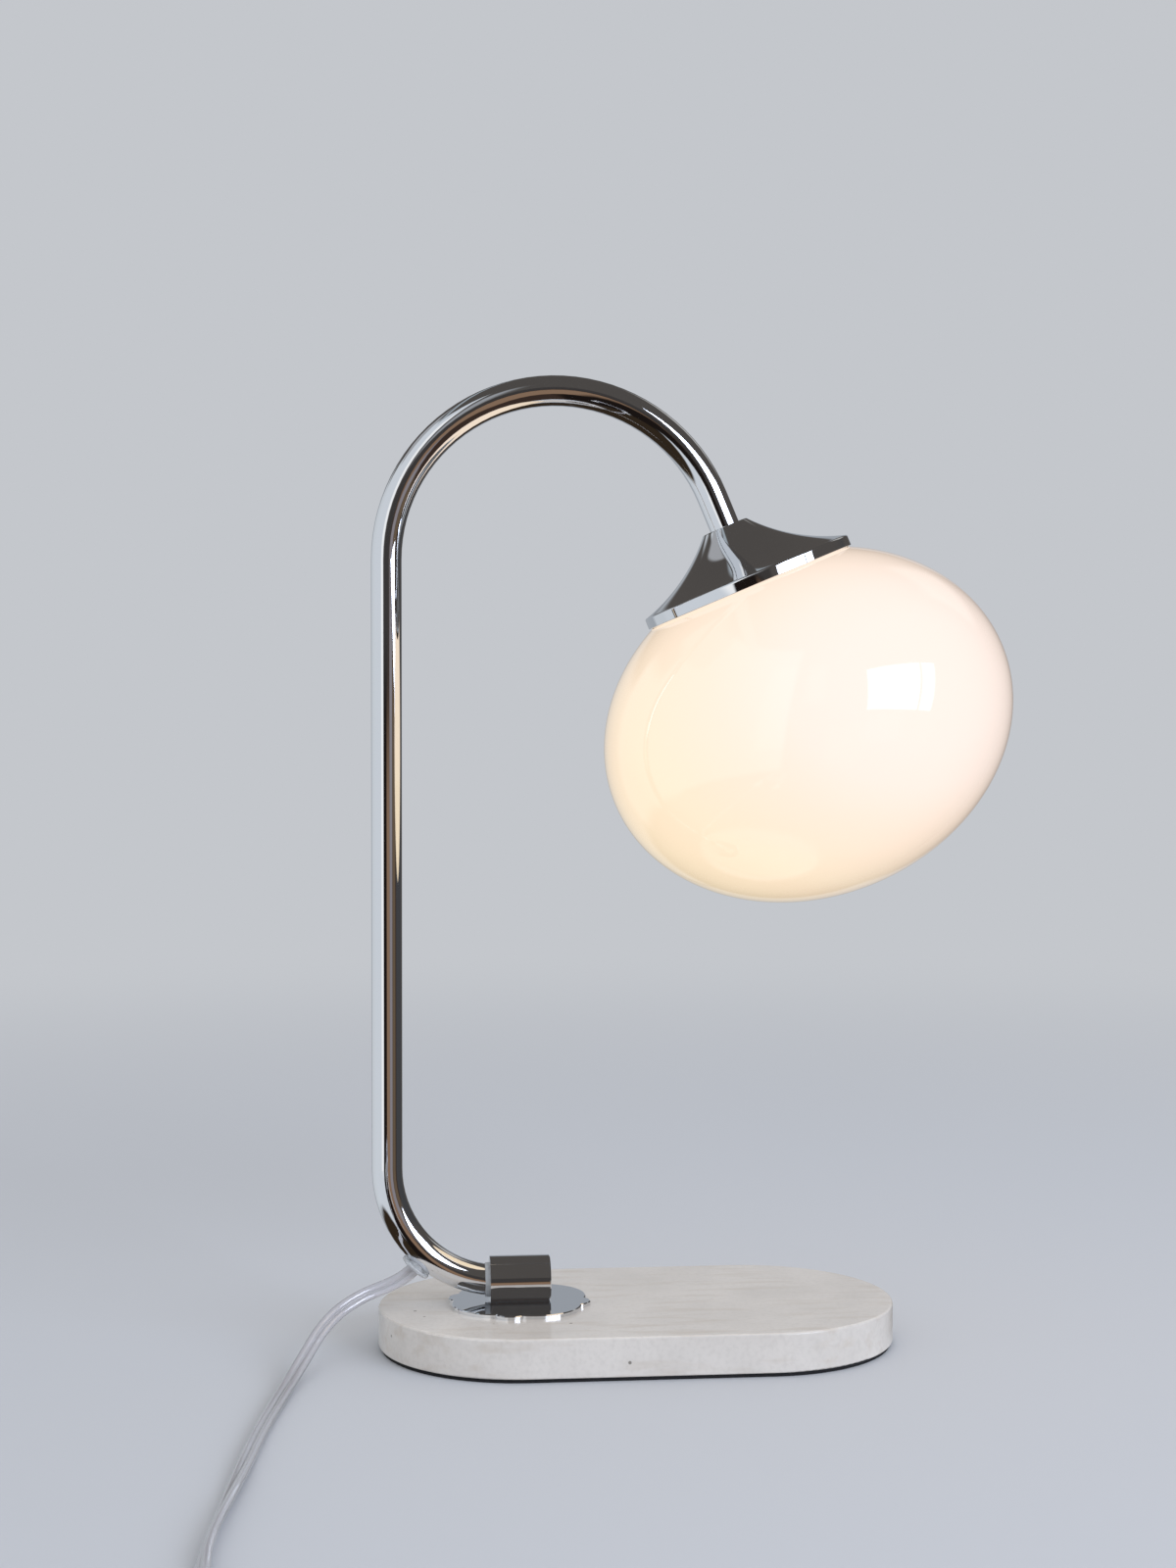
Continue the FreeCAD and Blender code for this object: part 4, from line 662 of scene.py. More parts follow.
@dataclass
class Studio:
    """Camera, floor, backdrop and lights."""

    eye: Point = (-0.1360, -1.1595, 0.3130)
    yaw: float = 5.43
    # How far the camera looks down, in radians
    dip: float = 0.016
    lens: float = 50.94
    sensor: float = 36.0
    farthest: float = 50.0
    backdrop: str = "c4c7cc"
    floor_colour: str = "c8cbd0"
    floor_roughness: float = 0.75
    floor_gloss: float = 0.25
    floor_rings: tuple[float, ...] = (0.2, 0.5, 1.0, 2.0, 4.0)
    floor_sides: int = 96
    floor_depth: float = 0.01
    # Distances from the lamp's middle between which the floor fades into the backdrop's colour,
    # and between which mirrors stop seeing it and see the room instead
    fade: Pair = (0.5, 2.2)
    mirrored_floor: Pair = (0.12, 0.16)
    daylight_all_round: str = "fbfcff"
    ambient: float = 0.80
    ceiling: str = "524e4b"
    panels: tuple[Panel, ...] = (
        Panel(-180, 180, -90, -27, "33291f", 6),
        Panel(-28, 8, -70, 4, "1d1715", 6),
        Panel(6, 76, -90, 4, "3c2f29", 6),
        Panel(0, 22, -31, 0, "8c715c", 5),
        Panel(22, 42, -14, 5, "8c868a", 5),
        Panel(44, 66, -16, 5, "6a5a49", 8),
        Panel(-16, 14, 2, 19, "3f3c3b", 4),
        Panel(-16, -4, 18, 44, "9fa1a5", 8),
        Panel(74, 130, -90, 20, "454547", 8),
        Panel(-180, -136, -26, 17, "a9aeb4", 6),
        Panel(-144, -112, -28, 27, "d0d5da", 8),
        Panel(-120, -92, -29, 40, "d6dbe0", 8),
        Panel(-98, -24, -28, 56, "d8dde3", 4),
        Panel(-40, -24, -12, 44, "ffffff", 4),
        Panel(-135, -92, 38, 55, "aaabae", 5),
        Panel(124, 152, 26, 46, "b7b6b4", 8),
        Panel(158, 180, -26, 20, "9ea3aa", 4),
    )
    # A lit line on a ceiling one unit up: x - slant * y lies in its band, and y in its run. The
    # second number of each pair is how soft the edges are
    line_colour: str = "a6afb6"
    line_slant: float = 0.33
    line_band: tuple[Pair, float] = ((-0.63, -0.53), 0.04)
    line_run: tuple[Pair, float] = ((-0.3, 1.6), 0.3)
    # The least upward part of a direction that still meets that ceiling
    line_least_rise: float = 0.3
    window_place: Point = (1.86, -1.95, 1.26)
    window_height: float = 1.45
    # Height of the place on the lamp that the window faces, and how far it leans in its own
    # plane, in degrees
    window_aim: float = 0.3
    window_lean: float = -10.0
    # Each pane's distance from the window's middle, and its width
    panes: tuple[Pair, ...] = ((-0.2725, 1.545), (0.78, 0.42))
    window_brightness: float = 16.0
    window_colour: str = "e4edff"

    def build(self) -> None:
        """Sets everything up, camera first."""
        bpy.context.scene.view_settings.view_transform = "Standard"
        self.camera()
        self.floor()
        self.world()
        self.window()

    def camera(self) -> None:
        """The photograph's viewpoint."""
        data = bpy.data.cameras.new("Camera")
        data.sensor_fit = "VERTICAL"
        data.sensor_height = self.sensor
        data.lens = self.lens
        data.clip_end = self.farthest
        camera = bpy.data.objects.new("Camera", data)
        camera.location = self.eye
        camera.rotation_euler = (math.pi / 2 - self.dip, 0, -math.radians(self.yaw))
        bpy.context.scene.collection.objects.link(camera)
        bpy.context.scene.camera = camera

    def floor(self) -> None:
        """A pale disc that fades into the backdrop's colour before its edge.

        Mirrors see it near the lamp, and beyond that the room.
        """
        radius, angle = np.array(self.floor_rings)[:, None], full_turn(self.floor_sides)
        grid = np.stack([radius * np.cos(angle), radius * np.sin(angle), 0 * radius * angle], -1)
        under = grid[::-1] - np.array([0, 0, self.floor_depth])
        piece = add_piece("studio_floor", shell(np.concatenate([grid, under])))
        material = bpy.data.materials.new("painted_backdrop")
        tree = empty_tree(material)
        near = add_node(tree, "ShaderNodeBsdfPrincipled", {
            "Base Color": linear(self.floor_colour), "Roughness": self.floor_roughness,
            "Specular IOR Level": self.floor_gloss})
        far = add_node(tree, "ShaderNodeEmission", {"Color": linear(self.backdrop)})
        place = add_node(tree, "ShaderNodeTexCoord").outputs["Object"]
        reach = add_node(tree, "ShaderNodeVectorMath", {0: place}, operation="LENGTH")
        faded, past = (add_node(tree, "ShaderNodeMapRange", {
            "Value": reach, "From Min": start, "From Max": end},
            interpolation_type="SMOOTHSTEP") for start, end in (self.fade, self.mirrored_floor))
        path = add_node(tree, "ShaderNodeLightPath").outputs
        eye = add_node(tree, "ShaderNodeMath", {
            0: path["Is Camera Ray"], 1: path["Is Transmission Ray"]}, operation="MAXIMUM")
        share = add_node(tree, "ShaderNodeMath", {0: faded, 1: eye}, operation="MULTIPLY")
        seen = add_node(tree, "ShaderNodeMixShader", {0: share, 1: near, 2: far})
        share = add_node(tree, "ShaderNodeMath", {0: past, 1: path["Is Glossy Ray"]},
                         operation="MULTIPLY")
        gap = add_node(tree, "ShaderNodeBsdfTransparent")
        mix = add_node(tree, "ShaderNodeMixShader", {0: share, 1: seen, 2: gap})
        add_node(tree, "ShaderNodeOutputMaterial", {"Surface": mix})
        piece.data.materials.append(material)

    def world(self) -> None:
        """Even light for matt surfaces, a lit room for mirrors, and the backdrop for the eye."""
        world = bpy.data.worlds.new("StudioWorld")
        bpy.context.scene.world = world
        tree = empty_tree(world)
        path = add_node(tree, "ShaderNodeLightPath").outputs
        even = add_node(tree, "ShaderNodeBackground", {
            "Color": linear(self.daylight_all_round), "Strength": self.ambient})
        mirrored = add_node(tree, "ShaderNodeBackground", {"Color": self.room(tree)})
        plain = add_node(tree, "ShaderNodeBackground", {"Color": linear(self.backdrop)})
        lit = add_node(tree, "ShaderNodeMixShader", {
            0: path["Is Glossy Ray"], 1: even, 2: mirrored})
        eye = add_node(tree, "ShaderNodeMath", {
            0: path["Is Camera Ray"], 1: path["Is Transmission Ray"]}, operation="MAXIMUM")
        whole = add_node(tree, "ShaderNodeMixShader", {0: eye, 1: lit, 2: plain})
        add_node(tree, "ShaderNodeOutputWorld", {"Surface": whole})

    @staticmethod
    def band(tree: Tree, value: Node, low: float, high: float, soft: float) -> Node:
        """A share that is one between low and high and falls to nought over the soft edges."""
        rise, fall = (add_node(tree, "ShaderNodeMapRange", {
            "Value": value, "From Min": start, "From Max": end},
            interpolation_type="SMOOTHSTEP")
            for start, end in ((low - soft / 2, low + soft / 2),
                               (high + soft / 2, high - soft / 2)))
        return add_node(tree, "ShaderNodeMath", {0: rise, 1: fall}, operation="MULTIPLY")

    def room(self, tree: Tree) -> Socket:
        """The room's colour in each direction: dark ceiling and front, pale walls, a lit line.

        Args:
            tree: the world's nodes.
        Returns:
            The colour.
        """
        way = add_node(tree, "ShaderNodeSeparateXYZ", {
            "Vector": add_node(tree, "ShaderNodeTexCoord").outputs["Generated"]}).outputs
        front = add_node(tree, "ShaderNodeMath", {0: way["Y"], 1: -1.0}, operation="MULTIPLY")
        azimuth = add_node(tree, "ShaderNodeMath", {0: way["X"], 1: front}, operation="ARCTAN2")
        azimuth = add_node(tree, "ShaderNodeMath", {0: azimuth}, operation="DEGREES")
        elevation = add_node(tree, "ShaderNodeMath", {0: way["Z"]}, operation="ARCSINE")
        elevation = add_node(tree, "ShaderNodeMath", {0: elevation}, operation="DEGREES")
        colour: Any = linear(self.ceiling)
        for panel in self.panels:
            share = add_node(tree, "ShaderNodeMath", {
                0: self.band(tree, azimuth, panel.west, panel.east, panel.soft),
                1: self.band(tree, elevation, panel.low, panel.high, panel.soft)},
                operation="MULTIPLY")
            colour = blend(tree, share, colour, panel.colour)
        across, deep = (add_node(tree, "ShaderNodeMath", {0: way[axis], 1: way["Z"]},
                                 operation="DIVIDE") for axis in ("X", "Y"))
        slanted = add_node(tree, "ShaderNodeMath", {0: deep, 1: -self.line_slant},
                           operation="MULTIPLY")
        off = add_node(tree, "ShaderNodeMath", {0: across, 1: slanted}, operation="ADD")
        share = add_node(tree, "ShaderNodeMath", {
            0: self.band(tree, off, *self.line_band[0], self.line_band[1]),
            1: self.band(tree, deep, *self.line_run[0], self.line_run[1])},
            operation="MULTIPLY")
        rises = add_node(tree, "ShaderNodeMath", {0: way["Z"], 1: self.line_least_rise},
                         operation="GREATER_THAN")
        share = add_node(tree, "ShaderNodeMath", {0: share, 1: rises}, operation="MULTIPLY")
        return blend(tree, share, colour, self.line_colour)

    def window(self) -> None:
        """A wide soft light of two panes to the front right, turned towards the lamp."""
        x, y, z = self.window_place
        drop = math.atan2(z - self.window_aim, math.hypot(x, y))
        towards_lamp = (Matrix.Rotation(math.atan2(x, -y), 4, "Z")
                        @ Matrix.Rotation(math.pi / 2 - drop, 4, "X")
                        @ Matrix.Rotation(math.radians(self.window_lean), 4, "Z"))
        for offset, width in self.panes:
            data = bpy.data.lights.new("WindowPane", "AREA")
            data.shape = "RECTANGLE"
            data.size = width
            data.size_y = self.window_height
            data.energy = self.window_brightness * width * self.window_height
            data.color = linear(self.window_colour)[:3]
            light = bpy.data.objects.new("WindowPane", data)
            light.matrix_world = (Matrix.Translation(self.window_place) @ towards_lamp
                                  @ Matrix.Translation((offset, 0, 0)))
            bpy.context.scene.collection.objects.link(light)


# The lamp's own pieces


@dataclass
class Shade:
    """Spun cap and blown globe, turned about the shade's axis from the arm's end."""

    tilt: float = 22.9
    end: Point = (46.617 * MM, 0.0, 429.696 * MM)
    top_radius: float = 12.3 * MM
    rod_hole: float = 5.1 * MM
    flare_height: float = 28.4 * MM
    flare_radius: float = 94.5 * MM
    rim_radius: float = 57.5 * MM
    rim_foot: float = 34.4 * MM
    edge: float = 1.2 * MM
    wall: float = 1.4 * MM
    # The wall inside the flare ends this far from the rim's own wall
    inner_corner: float = 0.3 * MM
    top_round: float = 0.9 * MM
    foot_rounds: Pair = (0.4 * MM, 0.3 * MM)
    globe_radius: float = 110.0 * MM
    globe_half_height: float = 90.9 * MM
    globe_drop: float = 112.9 * MM
    glass: float = 3.0 * MM
    neck_radius: float = 27.5 * MM
    neck_top: float = 19.8 * MM
    bead_radius: float = 28.5 * MM
    bead_drop: float = 1.9 * MM
    lip_round: float = 0.5 * MM
    # The ellipses stop here, one degree from the globe's foot, and a fan closes them
    foot_angle: float = -89.0
    # The rim's shoulder turns from here to level
    shoulder_angle: float = 80.0
    sides: int = 192
    flare_points: int = 40
    shoulder_points: int = 6
    outer_points: int = 96
    inner_points: int = 72
    bead_points: int = 9
    lip_points: int = 4

    def axes(self) -> Axes:
        """The shade's own axes: z leans back over the arm by the tilt."""
        c, s = cos_sin(self.tilt)
        return Axes(self.end, (c, 0, s), (0, 1, 0), (-s, 0, c))

    def flare(self, inset: float) -> Array:
        """The concave line of the cap: an arc about a centre outside it, bowed in by its radius.

        Args:
            inset: how far the line lies inside the cap's face.
        Returns:
            Rows of radius and height.
        """
        first = np.array([self.top_radius, 0.0])
        last = np.array([self.rim_radius - self.edge, -self.flare_height])
        chord = last - first
        middle, half = (first + last) / 2, np.linalg.norm(chord) / 2
        outward = np.array([-chord[1], chord[0]]) / (2 * half)
        centre = middle + outward * math.sqrt(self.flare_radius**2 - half**2)
        start, end = (math.degrees(math.atan2(*(point - centre)[::-1]))
                      for point in (first, last))
        return arc(centre, self.flare_radius + inset, start, end, self.flare_points)

    def cap(self) -> None:
        """The cap's closed profile: top, flare, rounded shoulder, rim, and the wall inside."""
        low, band = -self.rim_foot, -self.flare_height - self.edge
        outer = self.flare(0.0)
        inner = self.flare(self.wall)[::-1]
        shoulder = arc((self.rim_radius - self.edge, band), self.edge,
                       self.shoulder_angle, 0, self.shoulder_points)
        inside = self.rim_radius - self.wall
        inner = inner[(inner[:, 0] < inside - self.inner_corner) & (inner[:, 1] < -self.wall)]
        corners = np.vstack([
            [[self.rod_hole, 0.0]], outer, shoulder,
            [[self.rim_radius, low], [inside, low], [inside, band]], inner,
            [[self.rod_hole, -self.wall]]])
        radii = np.zeros(len(corners))
        rim = 1 + len(outer) + len(shoulder)
        radii[[1, rim, rim + 1]] = [self.top_round, *self.foot_rounds]
        grid = lathe(rounded(corners, radii), self.axes(), self.sides)
        finished(add_piece("spun_cap", shell(grid, loop=True)), Slot.CHROME, ["shade_cap"],
                 sharp=40)

    def globe(self) -> None:
        """An ellipse turned about its short axis, a beaded neck, and the same ellipse inside."""
        inner_neck = self.neck_radius - self.glass
        inner_radius = self.globe_radius - self.glass
        inner_height = self.globe_half_height - self.glass
        top, lip = -self.neck_top, self.lip_round
        start = math.degrees(math.acos(self.neck_radius / self.globe_radius))
        rise = np.radians(np.linspace(self.foot_angle, start, self.outer_points))
        start = math.degrees(math.acos(inner_neck / inner_radius))
        fall = np.radians(np.linspace(start, self.foot_angle, self.inner_points))
        profile = np.vstack([
            self.ellipse(rise, self.globe_radius, self.globe_half_height),
            arc((self.neck_radius, top - self.bead_drop), self.bead_radius - self.neck_radius,
                -90, 90, self.bead_points),
            arc((self.neck_radius - lip, top - lip), lip, 0, 90, self.lip_points),
            arc((inner_neck + lip, top - lip), lip, 90, 180, self.lip_points),
            self.ellipse(fall, inner_radius, inner_height)])
        grid = lathe(profile, self.axes(), self.sides)
        finished(add_piece("opal_globe", shell(grid)), Slot.OPAL, ["glass_globe"], sharp=50)

    def ellipse(self, angle: Array, radius: float, height: float) -> Array:
        """Points (a cos t, c + b sin t) about the globe's middle c."""
        return np.column_stack([radius * np.cos(angle), -self.globe_drop + height * np.sin(angle)])

    def build(self) -> None:
        """Makes the cap and the globe."""
        self.cap()
        self.globe()


@dataclass
class ExitBush:
    """Clear bush in the arm's lower bend, round the cord."""

    bend_centre: Pair = (-71.1 * MM, 94.0 * MM)
    bend_radius: float = 60.0 * MM
    exit_angle: float = 229.0
    bore: float = 3.75 * MM
    neck: float = 5.0 * MM
    flange: float = 8.3 * MM
    seat: float = 8.1 * MM
    face: float = 10.3 * MM
    neck_foot: float = 5.6 * MM
    sides: int = 96

    def axes(self) -> Axes:
        """z runs out of the bend along the exit's axis."""
        (c, s), (x, z) = cos_sin(self.exit_angle), self.bend_centre
        return Axes((x + self.bend_radius * c, 0, z + self.bend_radius * s),
                    (s, 0, -c), (0, 1, 0), (c, 0, s))

    def build(self) -> None:
        """A turned ring with a neck in the hole and a softly rounded flange outside."""
        # Radius and height of each corner, and how far it is rounded
        rows = np.array([
            (self.bore, self.neck_foot, 0.2 * MM), (self.neck, self.neck_foot, 0.3 * MM),
            (self.neck, self.seat, 0.2 * MM), (self.flange, self.seat, 0.5 * MM),
            (self.flange, self.face, 1.4 * MM), (self.bore, self.face, 0.5 * MM)])
        grid = lathe(rounded(rows[:, :2], rows[:, 2]), self.axes(), self.sides)
        finished(add_piece("exit_bush", shell(grid, loop=True)), Slot.CLEAR, ["cord_grommet"],
                 sharp=60)


class CordLay(Enum):
    LOOSE = "loose"
    COILED = "coiled"


@dataclass
class TwinCord:
    """One run of the clear flat twin cord, from its route's points.

    Its line is the NURBS spline of those points. The jacket is a figure of eight carried along
    it, and two bundles of twisted strands run inside.
    """

    name: str
    route: Array
    lay: CordLay
    length: float
    stands_for: tuple[str, ...]
    # Turn of the flat section about its line, in degrees, at fractions of the run's length
    turns: tuple[Pair, ...]
    lobe: float = 2.0 * MM
    spread: float = 1.7 * MM
    width: float = 7.4 * MM
    jacket_step: float = 3 * MM
    jacket_sides: int = 32
    strand_radius: float = 1.15 * MM
    strand_step: float = 1.6 * MM
    strand_sides: int = 28
    # The strands' waves round a bundle, how deep they are in its radius, how long a lay is, and
    # by how many waves they turn in it
    waves: int = 7
    wave_depth: float = 0.03
    pitch: float = 14.0 * MM
    waves_a_pitch: int = 3
    line: Array = field(init=False)

    def angle(self, places: Array) -> Array:
        """The section's turn at each place, in radians, eased between the named ones."""
        share, turn = np.array(self.turns).T
        return np.radians(np.interp(places / places[-1], share, turn))

    def jacket(self) -> Array:
        """Two overlapping discs along the line: s |cos a| + sqrt(r^2 - s^2 sin^2 a) from it.

        Returns:
            A grid of line points by outline points.
        """
        a = full_turn(self.jacket_sides)
        reach = self.spread * abs(np.cos(a)) + np.sqrt(
            self.lobe**2 - (self.spread * np.sin(a)) ** 2)
        line, places = even_steps(self.line, self.jacket_step)
        outline = np.column_stack([reach * np.cos(a), reach * np.sin(a)])
        return sweep(line, outline, self.angle(places))

    def strands(self, side: int) -> Array:
        """A bundle whose radius waves round it, with waves that turn along the line.

        Args:
            side: -1 or 1, for the half of the jacket that it runs in.
        Returns:
            A grid of line points by outline points, one step short of the jacket's ends.
        """
        line, places = even_steps(self.line, self.strand_step)
        a = full_turn(self.strand_sides)[None, :]
        lay = 2 * np.pi * places[:, None] / self.pitch
        reach = self.strand_radius * (
            1 + self.wave_depth * np.cos(self.waves * a + lay * self.waves_a_pitch))
        section = np.stack([side * self.spread + reach * np.cos(a), reach * np.sin(a)], -1)
        return sweep(line, section, self.angle(places))[1:-1]

    def build(self, ends_in: Sequence[Any], far_end: str) -> None:
        """Args:
            ends_in: the pieces and CAD nodes of what it ends in; not used.
        """
        self.line = spline(self.route)
        jacket = add_piece(f"{self.name}_jacket", shell(self.jacket()))
        finished(jacket, Slot.PVC, self.stands_for)
        strands = add_piece(f"{self.name}_strands", *(shell(self.strands(s)) for s in (-1, 1)))
        finished(strands, Slot.NICKEL, finish=STRANDS)


@dataclass
class MainsLead:
    """The cord from the arm to the switch, and on through the coil to the plug.

    Routes and the coil's sizes are in millimetres, and the two lengths in metres.
    """

    to_switch: tuple[Point, ...] = (
        (-114.9, 0, 43.6), (-119.9, 0, 37.9), (-130.1, -1, 32.8), (-143.1, -4, 28.9),
        (-156.1, -12, 23), (-165.6, -26, 16), (-172.1, -45, 9), (-178.1, -68, 4.2),
        (-183.1, -98, 2.9), (-189.7, -147, 2.6), (-194.2, -200, 3.0), (-198.7, -250, 3.5),
        (-202.4, -290, 3.5), (-202, -325, 3.6), (-200, -352, 6.6), (-200, -376, 7.2))
    to_coil: tuple[Point, ...] = (
        (-200, -432, 7.2), (-200, -449, 6.8), (-199.6, -466, 4.2), (-200, -481, 3.4),
        (-200, -497.8, 3.3))
    to_plug: tuple[Point, ...] = (
        (-96.5, -497.8, 10.6), (-96.5, -484.5, 10.4), (-96.3, -469, 8.6), (-96.5, -455.5, 6.9),
        (-96.5, -443, 6.9), (-96.5, -430, 6.9))
    front_length: float = 0.422
    front_turns: tuple[Pair, ...] = (
        (0, -80), (0.05, -74), (0.10, -62), (0.16, -40), (0.22, -26), (0.30, -12), (0.45, -8),
        (0.56, 0), (0.66, 35), (0.74, 60), (0.82, 60), (0.9, 25), (0.94, 0), (1, 0))
    stored_length: float = 1.35
    stored_turns: tuple[Pair, ...] = (
        (0, 0), (0.015, 0), (0.06, 45), (0.93, 45), (0.985, 0), (1, 0))
    coil_centre: Pair = (-148.25, -505.0)
    coil_outer: float = 51.75
    coil_inner: float = 34.2
    turns_a_layer: float = 2.25
    points_a_turn: int = 16
    layer_heights: Pair = (3.3, 10.6)
    # The height climbs from this part of a turn before the middle to as much after it
    climb: float = 0.25
    # The spline passes inside its points, so they stand a little outside the turns
    point_reach: float = 1.008

    def coil(self) -> Array:
        """A spiral in to its middle and out again a layer higher, in millimetres.

        The radius falls and rises evenly with the turn, and the height climbs over the half turn
        about the middle.

        Returns:
            The spiral's points.
        """
        middle = self.turns_a_layer
        turn = np.linspace(0, 2 * middle, round(2 * middle * self.points_a_turn) + 1)
        away = abs(turn - middle) / middle
        radius = (self.coil_inner + (self.coil_outer - self.coil_inner) * away) * self.point_reach
        low, high = self.layer_heights
        height = low + (high - low) * smooth_step(turn, middle - self.climb, middle + self.climb)
        angle = np.pi + 2 * np.pi * turn
        x, y = self.coil_centre
        return np.column_stack([x + radius * np.cos(angle), y + radius * np.sin(angle), height])

    def build(self, switch_pieces: Sequence[Any], plug_pieces: Sequence[Any]) -> None:
        """Makes both runs.

        Args:
            switch_pieces: what the first run ends in.
            plug_pieces: what the second run ends in.
        """
        front = TwinCord("cord_front", np.array(self.to_switch) * MM, CordLay.LOOSE,
                         self.front_length, ("cord_to_switch",), self.front_turns)
        front.build(switch_pieces, "fitting")
        route = np.vstack([self.to_coil, self.coil(), self.to_plug]) * MM
        stored = TwinCord("cord_stored", route, CordLay.COILED, self.stored_length,
                          ("cord_to_coil", "cord_coil", "cord_to_plug"), self.stored_turns)
        stored.build(plug_pieces, "plug")


@dataclass
class InnerLead:
    """The lead inside the arm, from the exit over the arch to the lampholder.

    Its route, as x and z, and the sizes down to end_depths are in millimetres.
    """

    route: tuple[Pair, ...] = (
        (-114.9, 43.6), (-108.3, 51.7), (-121.6, 65), (-129.1, 84), (-131.1, 104))
    arm_x: float = -131.1
    straight_foot: float = 160.0
    arch_height: float = 411.0
    arch_radius: float = 89.0
    arch_angles: Pair = (175.0, 22.9)
    # Where it ends, down the shade's axis
    end_depths: Pair = (4.0, 30.0)
    rise_points: int = 5
    arch_points: int = 14
    radius: float = 2.2 * MM
    step: float = 4 * MM
    sides: int = 20

    def build(self, shade: Shade) -> None:
        """A round lead along the middle of the tube: P + r (cos a Y + sin a (T x Y)).

        Args:
            shade: the shade, whose axis the lead ends on.
        """
        rise = np.linspace(self.straight_foot, self.arch_height, self.rise_points)
        rise = np.column_stack([0 * rise + self.arm_x, rise])
        arch = arc((self.arm_x + self.arch_radius, self.arch_height), self.arch_radius,
                   *self.arch_angles, self.arch_points)
        end = np.array([(0, 0, -depth * MM) for depth in self.end_depths])
        end = shade.axes().out(end)[:, [0, 2]] / MM
        x, z = np.vstack([self.route, rise, arch, end]).T * MM
        line, _ = even_steps(spline(np.column_stack([x, 0 * x, z])), self.step)
        side = np.broadcast_to([0.0, 1.0, 0.0], line.shape)
        other = np.cross(unit(np.gradient(line, axis=0)), side)
        a = full_turn(self.sides)[None, :, None]
        grid = line[:, None] + self.radius * (
            np.cos(a) * side[:, None] + np.sin(a) * other[:, None])
        finished(add_piece("lead_in_arm", shell(grid)), Slot.PVC, ["inner_lead"])


